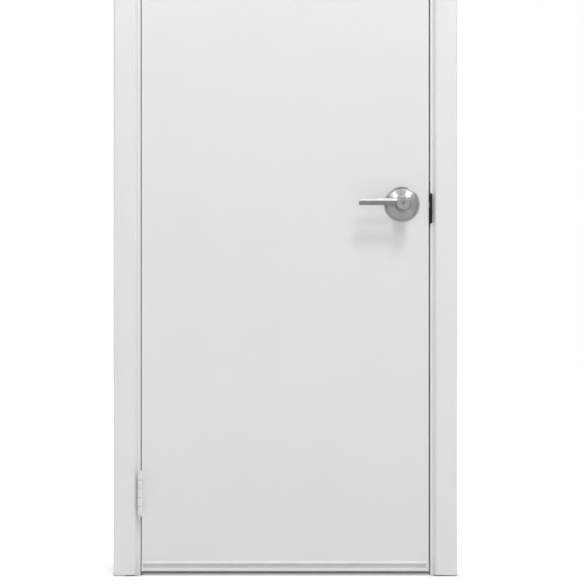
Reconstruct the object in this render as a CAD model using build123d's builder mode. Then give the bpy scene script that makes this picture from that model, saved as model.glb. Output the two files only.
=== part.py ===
from build123d import *
from math import radians, sin
import os

# Steel fire door: a flush leaf on two butt hinges in a sheet steel frame with clip-on casings,
# a keyed lever lock, a strike with a curved lip, silencers and a bottom sweep.
# Millimetres. X runs from the hinge side to the lock side, Y into the wall, Z up.
# The origin is on the floor, on the wall side of the hinge jamb's front wall flange,
# on the line of its fixing screws.

# Opening, wall and leaf
OPENING_WIDTH = 762.0
OPENING_HEIGHT = 2032.0
WALL_THICKNESS = 123.8
EDGE_GAP = 3.2
HINGE_EDGE_GAP = 2.2
UNDERCUT = 15.0
LEAF_THICKNESS = 44.45
LEAF_SHEET = 1.2
EDGE_BEVEL_RATIO = 1 / 16
CORE_CLEARANCE = 2.0
CHANNEL_DEPTH = 25.0
CHANNEL_SHEET = 1.6
CHANNEL_CLEARANCE = 2.0

# Frame section
FRAME_SHEET = 1.2
BEND_RADIUS = 0.8
FRAME_LIP = 14.0
FLANGE_START = 4.0
FLANGE_WIDTH = 44.45
FLANGE_END_GAP = 1.0
FLANGE_SCREW_LINE = 35.0
FLANGE_HOLE_RADIUS = 2.4
FLANGE_ROWS = 6
FLANGE_ROW_PITCH = 348.0
FLANGE_ROWS_MID_HEIGHT = 1022.0
HEAD_HOLE_PITCH = 400.0
STOP_FACE_GAP = 4.75
STOP_HEIGHT = 15.9
STOP_WIDTH = 37.3

# Casings and what holds them
CASING_WIDTH = 63.5
CASING_REVEAL = 6.35
CASING_PROJECTION = 16.0
CASING_SHEET = 1.0
CASING_SLOPE = 8.5
CASING_FOOT = 6.0
CASING_INNER_RADIUS = 4.0
CASING_OUTER_RADIUS = 5.5
CLIP_SHEET = 1.0
CLIP_LENGTH = 40.0
CLIP_TOP = 14.0
CLIP_SPREAD = 2.0
CLIP_FOOT = 5.0
CLIP_FLANGE_MARGIN = 1.5
HEAD_CLIPS = 3
HEAD_CLIP_PITCH = 300.0
BRACKET_SHEET = 2.0
BRACKET_LEG = 55.0
BRACKET_MARGIN = 6.0

# Butt hinges
HINGE_HEIGHT = 114.3
HINGE_GAUGE = 3.4
HINGE_BACKSET = 6.35
HINGE_CENTRE_FROM_LEAF_END = 203.5
HINGE_POCKET_CLEARANCE = 0.2
KNUCKLES = 5
KNUCKLE_RADIUS = 7.0
KNUCKLE_GAP = 0.3
KNUCKLE_RELIEF = 0.6
PIN_RADIUS = 3.6
PIN_RUNNING_CLEARANCE = 0.05
PIN_CAP_HEIGHT = 2.2
PIN_PLUG_HEIGHT = 4.5
PIN_CAP_RADIUS = 5.6
PIVOT_FROM_LEAF_FACE = 19.05
SCREW_RADIUS = 2.8
SCREW_HEAD_RADIUS = 5.0
HINGE_SCREWS = 4
HINGE_SCREW_FROM_END = 14.0
HINGE_SCREW_FROM_FACE = 11.5
HINGE_SCREW_STAGGER = 15.0
BACKING_THICKNESS = 4.8
BACKING_END = 22.0
BACKING_EDGE_MARGIN = 4.0

# Lever lock
LOCK_HEIGHT = 976.5
LOCK_BACKSET = 69.85
LOCK_BORE_RADIUS = 27.0
CHASSIS_CLEARANCE = 0.5
CAGE_OVERLAP = 3.5
CAGE_THICKNESS = 4.0
NECK_RADIUS = 14.8
NECK_CLEARANCE = 0.2
SHANK_RADIUS = 10.0
SHANK_RUNNING_CLEARANCE = 0.05
SHANK_DEPTH = 16.0
ROSE_RADIUS = 46.5
ROSE_RIM = 2.6
ROSE_RIM_WIDTH = 6.0
ROSE_GROOVE = 0.8
ROSE_HEIGHT = 12.0
ROSE_COLLAR_RADIUS = 22.5
ROSE_COLLAR_HEIGHT = 2.5
ROSE_WALL = 1.4
LEVER_GAP = 0.6
HUB_RADIUS = 18.0
HUB_WAIST_RADIUS = 16.5
HUB_FRONT = 62.0
HUB_EDGE_BEVEL = 2.0
ARM_REACH = 115.0
ARM_HEIGHT = 18.6
ARM_RISE = 4.0
ARM_THICKNESS = 13.0
ARM_ROUNDING = 6.2
ARM_TIP_ROUNDING = 4.0
ARM_FRONT_SETBACK = 3.0
PLUG_RADIUS = 6.4
PLUG_RUNNING_CLEARANCE = 0.05
PLUG_LENGTH = 28.0
PLUG_PROUD = 0.6
PLUG_END_GAP = 0.5
KEYWAY_WIDTH = 2.2
KEYWAY_LENGTH = 9.6
KEYWAY_DEPTH = 22.0
KEYWAY_ANGLE = 45.0

# Latch and strike
LATCH_FACE_HEIGHT = 57.15
LATCH_FACE_WIDTH = 28.6
LATCH_FACE_THICKNESS = 2.5
LATCH_FACE_CLEARANCE = 0.2
LATCH_SCREW_FROM_END = 7.5
LATCH_SCREW_RADIUS = 2.2
LATCH_SCREW_HEAD_RADIUS = 3.6
LATCH_TUBE_RADIUS = 12.3
LATCH_TUBE_WALL = 1.5
LATCH_TUBE_SEAT_GAP = 0.3
EDGE_BORE_RADIUS = 12.7
BOLT_WIDTH = 12.7
BOLT_HEIGHT = 15.9
BOLT_THROW = 12.7
BOLT_TAIL = 24.0
BOLT_RUNNING_CLEARANCE = 0.1
BOLT_NOSE = 2.5
STRIKE_HEIGHT = 124.0
STRIKE_WIDTH = 31.75
STRIKE_THICKNESS = 2.3
STRIKE_CLEARANCE = 0.1
STRIKE_CORNER_RADIUS = 3.0
LIP_HEIGHT = 80.0
LIP_DROP = 11.0
LIP_STRAIGHT = 2.8
LIP_RADIUS = 8.0
LIP_ANGLE = 60.0
LIP_CORNER = 5.0
STRIKE_SCREW_FROM_END = 8.0
STRIKE_HOLE_HEIGHT = 24.0
STRIKE_HOLE_FRONT_PLAY = 0.5
STRIKE_HOLE_WIDTH = 18.0
BOX_WALL = 1.0
BOX_DEPTH = 18.0
BOX_FLANGE_THICKNESS = 2.0
BOX_FLANGE_MARGIN = 5.0
SILENCER_RADIUS = 5.0
SILENCER_STEM_RADIUS = 2.4
SILENCER_TAIL_RADIUS = 3.4
SILENCER_TAIL_LENGTH = 4.0
SILENCER_TOUCH_GAP = 0.3
SILENCER_FROM_STOP_EDGE = 8.0
SILENCER_COUNT = 3
SILENCER_PITCH = 640.0

# Bottom sweep
SWEEP_BOTTOM = 11.6
SWEEP_HEIGHT = 25.8
SWEEP_PROJECTION = 6.5
SWEEP_BACK = 1.5
SWEEP_TOP_RAIL = 6.6
SWEEP_BOTTOM_RAIL = 7.3
SWEEP_RAIL_ROUNDING = 1.5
SWEEP_TOP_ROUNDING = 4.0
SWEEP_INSERT_THICKNESS = 1.6
SWEEP_BLADE_THICKNESS = 2.4
SWEEP_BLADE_GRIP = 4.6
SWEEP_BLADE_FLOOR_GAP = 5.0
SWEEP_HINGE_CAP_LENGTH = 5.0
SWEEP_LOCK_CAP_LENGTH = 7.5
SWEEP_END_INSET = 0.5

# Places worked out from the sizes above
hinge_face_x = FLANGE_SCREW_LINE
strike_face_x = hinge_face_x + OPENING_WIDTH
opening_mid_x = (hinge_face_x + strike_face_x) / 2
soffit_z = OPENING_HEIGHT
flange_front_y = -FRAME_SHEET
frame_front_y = flange_front_y - FRAME_SHEET
frame_rear_y = WALL_THICKNESS - frame_front_y
casing_outer = CASING_REVEAL + CASING_WIDTH

leaf_front_y = frame_front_y
leaf_rear_y = leaf_front_y + LEAF_THICKNESS
leaf_mid_y = (leaf_front_y + leaf_rear_y) / 2
leaf_hinge_x = hinge_face_x + HINGE_EDGE_GAP
leaf_lock_x = strike_face_x - EDGE_GAP
leaf_bottom_z = UNDERCUT
leaf_top_z = soffit_z - EDGE_GAP
leaf_height = leaf_top_z - leaf_bottom_z
stop_face_y = leaf_rear_y + STOP_FACE_GAP
stop_rear_y = stop_face_y + STOP_WIDTH

pivot_x = (hinge_face_x + leaf_hinge_x) / 2
pivot_y = leaf_front_y - PIVOT_FROM_LEAF_FACE
hinge_plate_rear_y = leaf_rear_y - HINGE_BACKSET
hinge_centres_z = {
    "bottom": leaf_bottom_z + HINGE_CENTRE_FROM_LEAF_END,
    "top": leaf_top_z - HINGE_CENTRE_FROM_LEAF_END,
}
knuckle_pitch = HINGE_HEIGHT / KNUCKLES

lock_edge_mid_x = leaf_lock_x - EDGE_BEVEL_RATIO * (leaf_mid_y - leaf_front_y)
lock_x = lock_edge_mid_x - LOCK_BACKSET
lip_mid_z = LOCK_HEIGHT - LIP_DROP
hub_back = ROSE_HEIGHT + LEVER_GAP
bolt_tip_x = lock_edge_mid_x + BOLT_THROW
strike_rear_x = strike_face_x + STRIKE_THICKNESS
strike_hole_mid_y = leaf_mid_y - BOLT_WIDTH / 2 - STRIKE_HOLE_FRONT_PLAY + STRIKE_HOLE_WIDTH / 2

# Section planes. Local x runs from the opening into the wall, local y is the depth.
hinge_section = Plane(origin=(hinge_face_x, 0, 0), x_dir=(-1, 0, 0), z_dir=(0, 0, -1))
strike_section = Plane(origin=(strike_face_x, 0, 0), x_dir=(1, 0, 0), z_dir=(0, 0, 1))
head_section = Plane(origin=(opening_mid_x, 0, soffit_z), x_dir=(0, 0, 1), z_dir=(-1, 0, 0))
hinge_mitre = Plane(origin=(hinge_face_x, 0, soffit_z), x_dir=(0, 1, 0), z_dir=(1, 0, 1))
strike_mitre = Plane(origin=(strike_face_x, 0, soffit_z), x_dir=(0, 1, 0), z_dir=(-1, 0, 1))

# Planes on the leaf's faces at the lock's axis, facing outwards, local y up
front_lock_plane = Plane(origin=(lock_x, leaf_front_y, LOCK_HEIGHT), x_dir=(1, 0, 0), z_dir=(0, -1, 0))
rear_lock_plane = Plane(origin=(lock_x, leaf_rear_y, LOCK_HEIGHT), x_dir=(-1, 0, 0), z_dir=(0, 1, 0))
lock_edge_plane = Plane(
    origin=(lock_edge_mid_x, leaf_mid_y, LOCK_HEIGHT),
    x_dir=(-EDGE_BEVEL_RATIO, 1, 0),
    z_dir=(1, EDGE_BEVEL_RATIO, 0),
)


def save(piece, label):
    """Label a finished piece and write it to its own file."""
    piece.part.label = label
    export_step(piece.part, f"parts/{label}.step")


def bent_strip(points, radii, thickness, side):
    """Section of one bent sheet, drawn from its visible line."""
    with BuildSketch(Plane.XY) as strip:
        with BuildLine():
            FilletPolyline(*points, radius=radii)
            offset(amount=thickness, side=side)
        make_face()
    return strip.sketch


def frame_profile():
    """Section of a jamb or head: lip, rabbet, stop, rear rabbet and rear lip."""
    tight = BEND_RADIUS
    wide = BEND_RADIUS + FRAME_SHEET
    return bent_strip(
        [
            (FRAME_LIP, frame_front_y),
            (0, frame_front_y),
            (0, stop_face_y),
            (-STOP_HEIGHT, stop_face_y),
            (-STOP_HEIGHT, stop_rear_y),
            (0, stop_rear_y),
            (0, frame_rear_y),
            (FRAME_LIP, frame_rear_y),
        ],
        [wide, tight, wide, wide, tight, wide],
        FRAME_SHEET,
        Side.RIGHT,
    )


def casing_profile():
    """Section of a casing: foot on the frame's lip, slope, flat face, return to the wall."""
    return bent_strip(
        [
            (CASING_REVEAL + CASING_FOOT, frame_front_y),
            (CASING_REVEAL, frame_front_y),
            (CASING_REVEAL + CASING_SLOPE, -CASING_PROJECTION),
            (casing_outer, -CASING_PROJECTION),
            (casing_outer, 0),
        ],
        [CASING_SHEET * 1.2, CASING_INNER_RADIUS, CASING_OUTER_RADIUS],
        CASING_SHEET,
        Side.LEFT,
    )


def clip_profile():
    """Section of a hat-shaped spring clip between the wall flange and the casing's face."""
    clip_end = FLANGE_WIDTH - CLIP_FLANGE_MARGIN
    clip_mid = clip_end - CLIP_FOOT - CLIP_SPREAD - CLIP_TOP / 2
    foot_y = flange_front_y - CLIP_SHEET
    top_y = -CASING_PROJECTION + CASING_SHEET
    half_top = CLIP_TOP / 2
    half_base = half_top + CLIP_SPREAD
    return bent_strip(
        [
            (clip_mid - half_base - CLIP_FOOT, foot_y),
            (clip_mid - half_base, foot_y),
            (clip_mid - half_top, top_y),
            (clip_mid + half_top, top_y),
            (clip_mid + half_base, foot_y),
            (clip_mid + half_base + CLIP_FOOT, foot_y),
        ],
        0,
        CLIP_SHEET,
        Side.LEFT,
    )


def hinge_pockets(face_x):
    """Outlines of the two hinge pockets in an edge whose face is at face_x."""
    pocket_rear_y = hinge_plate_rear_y + HINGE_POCKET_CLEARANCE
    pocket_front_y = leaf_front_y - FRAME_SHEET
    with BuildSketch(Plane.YZ.offset(face_x)) as pockets:
        for centre_z in hinge_centres_z.values():
            with Locations(((pocket_front_y + pocket_rear_y) / 2, centre_z)):
                Rectangle(pocket_rear_y - pocket_front_y, HINGE_HEIGHT + 2 * HINGE_POCKET_CLEARANCE)
    return pockets.sketch


side_run = soffit_z + casing_outer
head_run = OPENING_WIDTH / 2 + casing_outer
wall_mid_plane = Plane.XZ.offset(-WALL_THICKNESS / 2)

os.makedirs("parts", exist_ok=True)

# Jambs and head of the frame
with BuildPart() as hinge_jamb:
    with BuildSketch(hinge_section):
        add(frame_profile())
    extrude(amount=-side_run)
    split(bisect_by=hinge_mitre, keep=Keep.BOTTOM)
    extrude(hinge_pockets(hinge_face_x), amount=HINGE_GAUGE, both=True, mode=Mode.SUBTRACT)
save(hinge_jamb, "hinge_jamb")

with BuildPart() as strike_jamb:
    with BuildSketch(strike_section):
        add(frame_profile())
    extrude(amount=side_run)
    split(bisect_by=strike_mitre, keep=Keep.BOTTOM)
    with BuildSketch(Plane.YZ.offset(strike_face_x)):
        with Locations((leaf_mid_y, LOCK_HEIGHT)):
            RectangleRounded(
                STRIKE_WIDTH + 2 * STRIKE_CLEARANCE,
                STRIKE_HEIGHT + 2 * STRIKE_CLEARANCE,
                STRIKE_CORNER_RADIUS,
            )
        with Locations((frame_front_y, lip_mid_z)):
            Rectangle(
                2 * (leaf_mid_y - frame_front_y),
                LIP_HEIGHT + 2 * STRIKE_CLEARANCE,
            )
    extrude(amount=STRIKE_THICKNESS + STRIKE_CLEARANCE, both=True, mode=Mode.SUBTRACT)
    with BuildSketch(Plane.XZ.offset(-stop_face_y)):
        with Locations((strike_face_x - SILENCER_FROM_STOP_EDGE, FLANGE_ROWS_MID_HEIGHT)):
            with GridLocations(1, SILENCER_PITCH, 1, SILENCER_COUNT):
                Circle(SILENCER_STEM_RADIUS)
    extrude(amount=2 * FRAME_SHEET, both=True, mode=Mode.SUBTRACT)
save(strike_jamb, "strike_jamb")

with BuildPart() as head_jamb:
    with BuildSketch(head_section):
        add(frame_profile())
    extrude(amount=head_run, both=True)
    split(bisect_by=hinge_mitre, keep=Keep.TOP)
    split(bisect_by=strike_mitre, keep=Keep.TOP)
save(head_jamb, "head_jamb")

# Wall flanges welded behind the lips: strips up both sides and across the head, with fixing holes
flange_strip = FLANGE_WIDTH - FLANGE_START
head_strip_run = OPENING_WIDTH + 2 * (FLANGE_START - FLANGE_END_GAP)
with BuildPart() as front_wall_flanges:
    with BuildSketch(Plane.XZ):
        with Locations((hinge_face_x - FLANGE_START, 0)):
            Rectangle(flange_strip, soffit_z + FLANGE_WIDTH, align=(Align.MAX, Align.MIN))
        with Locations((strike_face_x + FLANGE_START, 0)):
            Rectangle(flange_strip, soffit_z + FLANGE_WIDTH, align=(Align.MIN, Align.MIN))
        with Locations((opening_mid_x, soffit_z + FLANGE_START)):
            Rectangle(head_strip_run, flange_strip, align=(Align.CENTER, Align.MIN))
        with Locations((opening_mid_x, FLANGE_ROWS_MID_HEIGHT)):
            with GridLocations(OPENING_WIDTH + 2 * FLANGE_SCREW_LINE, FLANGE_ROW_PITCH, 2, FLANGE_ROWS):
                Circle(FLANGE_HOLE_RADIUS, mode=Mode.SUBTRACT)
        with Locations((opening_mid_x, soffit_z + FLANGE_SCREW_LINE)):
            with GridLocations(HEAD_HOLE_PITCH, 1, 2, 1):
                Circle(FLANGE_HOLE_RADIUS, mode=Mode.SUBTRACT)
    extrude(amount=FRAME_SHEET)
save(front_wall_flanges, "front_wall_flanges")

with BuildPart() as rear_wall_flanges:
    mirror(front_wall_flanges.part, about=wall_mid_plane)
save(rear_wall_flanges, "rear_wall_flanges")

# Angle brackets on the wall side of the mitred corners, in the front and the rear rabbet
rabbet_spans_y = [
    (BRACKET_MARGIN, stop_face_y - BRACKET_MARGIN),
    (stop_rear_y + BRACKET_MARGIN, WALL_THICKNESS - BRACKET_MARGIN),
]
with BuildPart() as corner_brackets:
    for near_y, far_y in rabbet_spans_y:
        with BuildSketch(Plane.XZ.offset(-far_y)):
            for corner_x, turn in ((hinge_face_x, -1), (strike_face_x, 1)):
                leg_x = corner_x + turn * FRAME_SHEET
                leg_z = soffit_z + FRAME_SHEET
                add(
                    bent_strip(
                        [
                            (leg_x, soffit_z - BRACKET_LEG),
                            (leg_x, leg_z),
                            (corner_x - turn * BRACKET_LEG, leg_z),
                        ],
                        0,
                        BRACKET_SHEET,
                        Side.LEFT if turn < 0 else Side.RIGHT,
                    )
                )
        extrude(amount=far_y - near_y)
save(corner_brackets, "corner_brackets")

# Casings on both faces of the wall
with BuildPart() as front_casing_hinge_side:
    with BuildSketch(hinge_section):
        add(casing_profile())
    extrude(amount=-side_run)
    split(bisect_by=hinge_mitre, keep=Keep.BOTTOM)
save(front_casing_hinge_side, "front_casing_hinge_side")

with BuildPart() as front_casing_strike_side:
    with BuildSketch(strike_section):
        add(casing_profile())
    extrude(amount=side_run)
    split(bisect_by=strike_mitre, keep=Keep.BOTTOM)
save(front_casing_strike_side, "front_casing_strike_side")

with BuildPart() as front_casing_head:
    with BuildSketch(head_section):
        add(casing_profile())
    extrude(amount=head_run, both=True)
    split(bisect_by=hinge_mitre, keep=Keep.TOP)
    split(bisect_by=strike_mitre, keep=Keep.TOP)
save(front_casing_head, "front_casing_head")

for side_name, front_piece in (
    ("hinge_side", front_casing_hinge_side),
    ("strike_side", front_casing_strike_side),
    ("head", front_casing_head),
):
    with BuildPart() as rear_casing:
        mirror(front_piece.part, about=wall_mid_plane)
    save(rear_casing, f"rear_casing_{side_name}")

# Spring clips between the wall flanges and the casings, between the rows of screws
with BuildPart() as casing_clips_front:
    for section, way in ((hinge_section, -1), (strike_section, 1)):
        for row in range(FLANGE_ROWS - 1):
            row_z = FLANGE_ROWS_MID_HEIGHT + (row - (FLANGE_ROWS - 2) / 2) * FLANGE_ROW_PITCH
            with BuildSketch(section.offset(way * row_z)):
                add(clip_profile())
            extrude(amount=CLIP_LENGTH / 2, both=True)
    for place in range(HEAD_CLIPS):
        with BuildSketch(head_section.offset((place - (HEAD_CLIPS - 1) / 2) * HEAD_CLIP_PITCH)):
            add(clip_profile())
        extrude(amount=CLIP_LENGTH / 2, both=True)
save(casing_clips_front, "casing_clips_front")

with BuildPart() as casing_clips_rear:
    mirror(casing_clips_front.part, about=wall_mid_plane)
save(casing_clips_rear, "casing_clips_rear")


# Hinges
def knuckle_span(index, centre_z):
    """Lower and upper end of one knuckle, counted from the bottom."""
    low = centre_z - HINGE_HEIGHT / 2 + index * knuckle_pitch
    return low + KNUCKLE_GAP / 2, low + knuckle_pitch - KNUCKLE_GAP / 2


def hinge_leaf(centre_z, way, first_knuckle):
    """One leaf of a hinge: a plate and every other knuckle. way is -1 on the jamb, 1 on the door."""
    plate_near_x = way * HINGE_EDGE_GAP / 2
    plate_mid_x = pivot_x + plate_near_x + way * HINGE_GAUGE / 2
    own = range(first_knuckle, KNUCKLES, 2)
    others = [index for index in range(KNUCKLES) if index not in own]
    with BuildPart() as leaf:
        with BuildSketch(Plane.YZ.offset(plate_mid_x)):
            with Locations(((pivot_y + hinge_plate_rear_y) / 2, centre_z)):
                Rectangle(hinge_plate_rear_y - pivot_y, HINGE_HEIGHT - KNUCKLE_GAP)
        extrude(amount=HINGE_GAUGE / 2, both=True)
        for index in others:
            low, high = knuckle_span(index, centre_z)
            low = low - KNUCKLE_GAP
            high = high + KNUCKLE_GAP
            with BuildSketch(Plane.XY.offset(low)):
                with Locations((pivot_x, pivot_y)):
                    Circle(KNUCKLE_RADIUS + KNUCKLE_RELIEF)
            extrude(amount=high - low, mode=Mode.SUBTRACT)
        for index in own:
            low, high = knuckle_span(index, centre_z)
            with BuildSketch(Plane.XY.offset(low)):
                with Locations((pivot_x, pivot_y)):
                    Circle(KNUCKLE_RADIUS)
            extrude(amount=high - low)
        with BuildSketch(Plane.XY.offset(centre_z)):
            with Locations((pivot_x, pivot_y)):
                Circle(PIN_RADIUS + PIN_RUNNING_CLEARANCE)
        extrude(amount=HINGE_HEIGHT, both=True, mode=Mode.SUBTRACT)
        for number in range(HINGE_SCREWS):
            screw_y = leaf_front_y + HINGE_SCREW_FROM_FACE + HINGE_SCREW_STAGGER * (number % 2)
            screw_step = (HINGE_HEIGHT - 2 * HINGE_SCREW_FROM_END) / (HINGE_SCREWS - 1)
            screw_z = centre_z - HINGE_HEIGHT / 2 + HINGE_SCREW_FROM_END + number * screw_step
            seat = Plane(origin=(pivot_x + plate_near_x, screw_y, screw_z), z_dir=(-way, 0, 0))
            with Locations(seat):
                CounterSinkHole(SCREW_RADIUS, SCREW_HEAD_RADIUS, depth=HINGE_GAUGE)
    return leaf


def hinge_pin(centre_z):
    """Pin with a button tip on top and a plug below, on the pivot's axis."""
    half = HINGE_HEIGHT / 2
    pivot_plane = Plane(origin=(pivot_x, pivot_y, centre_z), x_dir=(1, 0, 0), z_dir=(0, -1, 0))
    with BuildPart() as pin:
        with BuildSketch(pivot_plane):
            with BuildLine():
                Polyline(
                    (0, -half - PIN_PLUG_HEIGHT),
                    (PIN_RADIUS, -half - PIN_PLUG_HEIGHT),
                    (PIN_CAP_RADIUS, -half),
                    (PIN_RADIUS, -half),
                    (PIN_RADIUS, half),
                    (PIN_CAP_RADIUS, half),
                    (PIN_CAP_RADIUS, half + PIN_CAP_HEIGHT / 2),
                    (PIN_RADIUS, half + PIN_CAP_HEIGHT),
                    (0, half + PIN_CAP_HEIGHT),
                    close=True,
                )
            make_face()
        revolve(axis=Axis((pivot_x, pivot_y, 0), (0, 0, 1)))
    return pin


def hinge_backing(way):
    """Joggled reinforcing plates behind both hinge pockets. way is -1 on the jamb, 1 on the door."""
    sheet = FRAME_SHEET if way < 0 else LEAF_SHEET
    edge_x = pivot_x + way * HINGE_EDGE_GAP / 2
    seat_x = edge_x + way * HINGE_GAUGE
    step_x = edge_x + way * sheet
    half = HINGE_HEIGHT / 2 + HINGE_POCKET_CLEARANCE
    width = hinge_plate_rear_y - BACKING_EDGE_MARGIN
    with BuildPart() as backing:
        for centre_z in hinge_centres_z.values():
            with BuildSketch(Plane.XZ.offset(-hinge_plate_rear_y)):
                add(
                    bent_strip(
                        [
                            (step_x, centre_z - half - BACKING_END),
                            (step_x, centre_z - half - HINGE_GAUGE),
                            (seat_x, centre_z - half),
                            (seat_x, centre_z + half),
                            (step_x, centre_z + half + HINGE_GAUGE),
                            (step_x, centre_z + half + BACKING_END),
                        ],
                        0,
                        BACKING_THICKNESS,
                        Side.LEFT if way < 0 else Side.RIGHT,
                    )
                )
            extrude(amount=width)
    return backing


for place, centre_z in hinge_centres_z.items():
    save(hinge_leaf(centre_z, -1, 0), f"{place}_hinge_frame_leaf")
    save(hinge_leaf(centre_z, 1, 1), f"{place}_hinge_door_leaf")
    save(hinge_pin(centre_z), f"{place}_hinge_pin")
save(hinge_backing(-1), "hinge_backing_frame")
save(hinge_backing(1), "hinge_backing_door")


# Leaf skins: two pans that meet in a seam at mid-thickness
def lock_edge_x(at_y):
    """X of the bevelled lock edge at a depth."""
    return leaf_lock_x - EDGE_BEVEL_RATIO * (at_y - leaf_front_y)


def leaf_skin(face_y, side):
    """One pan of the leaf: its face and both edges back to the seam, with the cut-outs."""
    bend = BEND_RADIUS + LEAF_SHEET
    with BuildPart() as skin:
        with BuildSketch(Plane.XY.offset(leaf_bottom_z)):
            add(
                bent_strip(
                    [
                        (leaf_hinge_x, leaf_mid_y),
                        (leaf_hinge_x, face_y),
                        (lock_edge_x(face_y), face_y),
                        (lock_edge_mid_x, leaf_mid_y),
                    ],
                    bend,
                    LEAF_SHEET,
                    side,
                )
            )
        extrude(amount=leaf_height)
        extrude(hinge_pockets(leaf_hinge_x), amount=HINGE_GAUGE, both=True, mode=Mode.SUBTRACT)
        with BuildSketch(Plane.XZ.offset(-leaf_mid_y)):
            with Locations((lock_x, LOCK_HEIGHT)):
                Circle(LOCK_BORE_RADIUS)
        extrude(amount=LEAF_THICKNESS, both=True, mode=Mode.SUBTRACT)
        with BuildSketch(lock_edge_plane):
            Rectangle(
                LATCH_FACE_WIDTH + 2 * LATCH_FACE_CLEARANCE,
                LATCH_FACE_HEIGHT + 2 * LATCH_FACE_CLEARANCE,
            )
        extrude(amount=LATCH_FACE_THICKNESS, both=True, mode=Mode.SUBTRACT)
    return skin


save(leaf_skin(leaf_front_y, Side.LEFT), "leaf_front_skin")
save(leaf_skin(leaf_rear_y, Side.RIGHT), "leaf_rear_skin")

# Core glued between the skins, clear of the bends, the channels and the backing plates
core_hinge_x = leaf_hinge_x + LEAF_SHEET + CORE_CLEARANCE
core_lock_x = lock_edge_x(leaf_rear_y) - LEAF_SHEET - CORE_CLEARANCE
core_front_y = leaf_front_y + LEAF_SHEET
core_rear_y = leaf_rear_y - LEAF_SHEET
core_bottom_z = leaf_bottom_z + CHANNEL_DEPTH + CHANNEL_CLEARANCE
core_top_z = leaf_top_z - CHANNEL_DEPTH - CHANNEL_CLEARANCE
backing_pocket_depth = HINGE_GAUGE + BACKING_THICKNESS + CHANNEL_CLEARANCE
backing_pocket_height = HINGE_HEIGHT + 2 * (BACKING_END + CHANNEL_CLEARANCE)
with BuildPart() as leaf_core:
    with BuildSketch(Plane.XZ.offset(-core_rear_y)):
        with Locations(((core_hinge_x + core_lock_x) / 2, (core_bottom_z + core_top_z) / 2)):
            Rectangle(core_lock_x - core_hinge_x, core_top_z - core_bottom_z)
        with Locations((lock_x, LOCK_HEIGHT)):
            Circle(LOCK_BORE_RADIUS, mode=Mode.SUBTRACT)
        for centre_z in hinge_centres_z.values():
            with Locations((leaf_hinge_x, centre_z)):
                Rectangle(2 * backing_pocket_depth, backing_pocket_height, mode=Mode.SUBTRACT)
    extrude(amount=core_rear_y - core_front_y)
    with BuildSketch(Plane.YZ.offset(core_lock_x)):
        with Locations((leaf_mid_y, LOCK_HEIGHT)):
            Circle(EDGE_BORE_RADIUS)
    extrude(amount=lock_x - core_lock_x, mode=Mode.SUBTRACT)
save(leaf_core, "leaf_core")


def end_channel(open_z, web_z):
    """Steel channel across the top or bottom of the leaf, between the skins."""
    with BuildPart() as channel:
        with BuildSketch(Plane.YZ.offset(core_hinge_x)):
            add(
                bent_strip(
                    [
                        (core_front_y, open_z),
                        (core_front_y, web_z),
                        (core_rear_y, web_z),
                        (core_rear_y, open_z),
                    ],
                    BEND_RADIUS + CHANNEL_SHEET,
                    CHANNEL_SHEET,
                    Side.LEFT if web_z < open_z else Side.RIGHT,
                )
            )
        extrude(amount=core_lock_x - core_hinge_x)
    return channel


save(end_channel(leaf_top_z - CHANNEL_DEPTH, leaf_top_z), "leaf_top_channel")
save(end_channel(leaf_bottom_z, leaf_bottom_z + CHANNEL_DEPTH), "leaf_bottom_channel")

# Lock chassis through the leaf: body, spring cages on both faces and hollow necks
with BuildPart() as lock_chassis:
    with BuildSketch(front_lock_plane):
        Circle(LOCK_BORE_RADIUS - CHASSIS_CLEARANCE)
    extrude(amount=-LEAF_THICKNESS)
    for lock_plane in (front_lock_plane, rear_lock_plane):
        with BuildSketch(lock_plane):
            Circle(LOCK_BORE_RADIUS + CAGE_OVERLAP)
        extrude(amount=CAGE_THICKNESS)
        with BuildSketch(lock_plane):
            Circle(NECK_RADIUS)
        extrude(amount=ROSE_HEIGHT)
    with BuildSketch(front_lock_plane.offset(-LEAF_THICKNESS / 2)):
        Circle(SHANK_RADIUS + SHANK_RUNNING_CLEARANCE)
    extrude(amount=LEAF_THICKNESS / 2 + ROSE_HEIGHT, both=True, mode=Mode.SUBTRACT)
save(lock_chassis, "lock_chassis")


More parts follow.
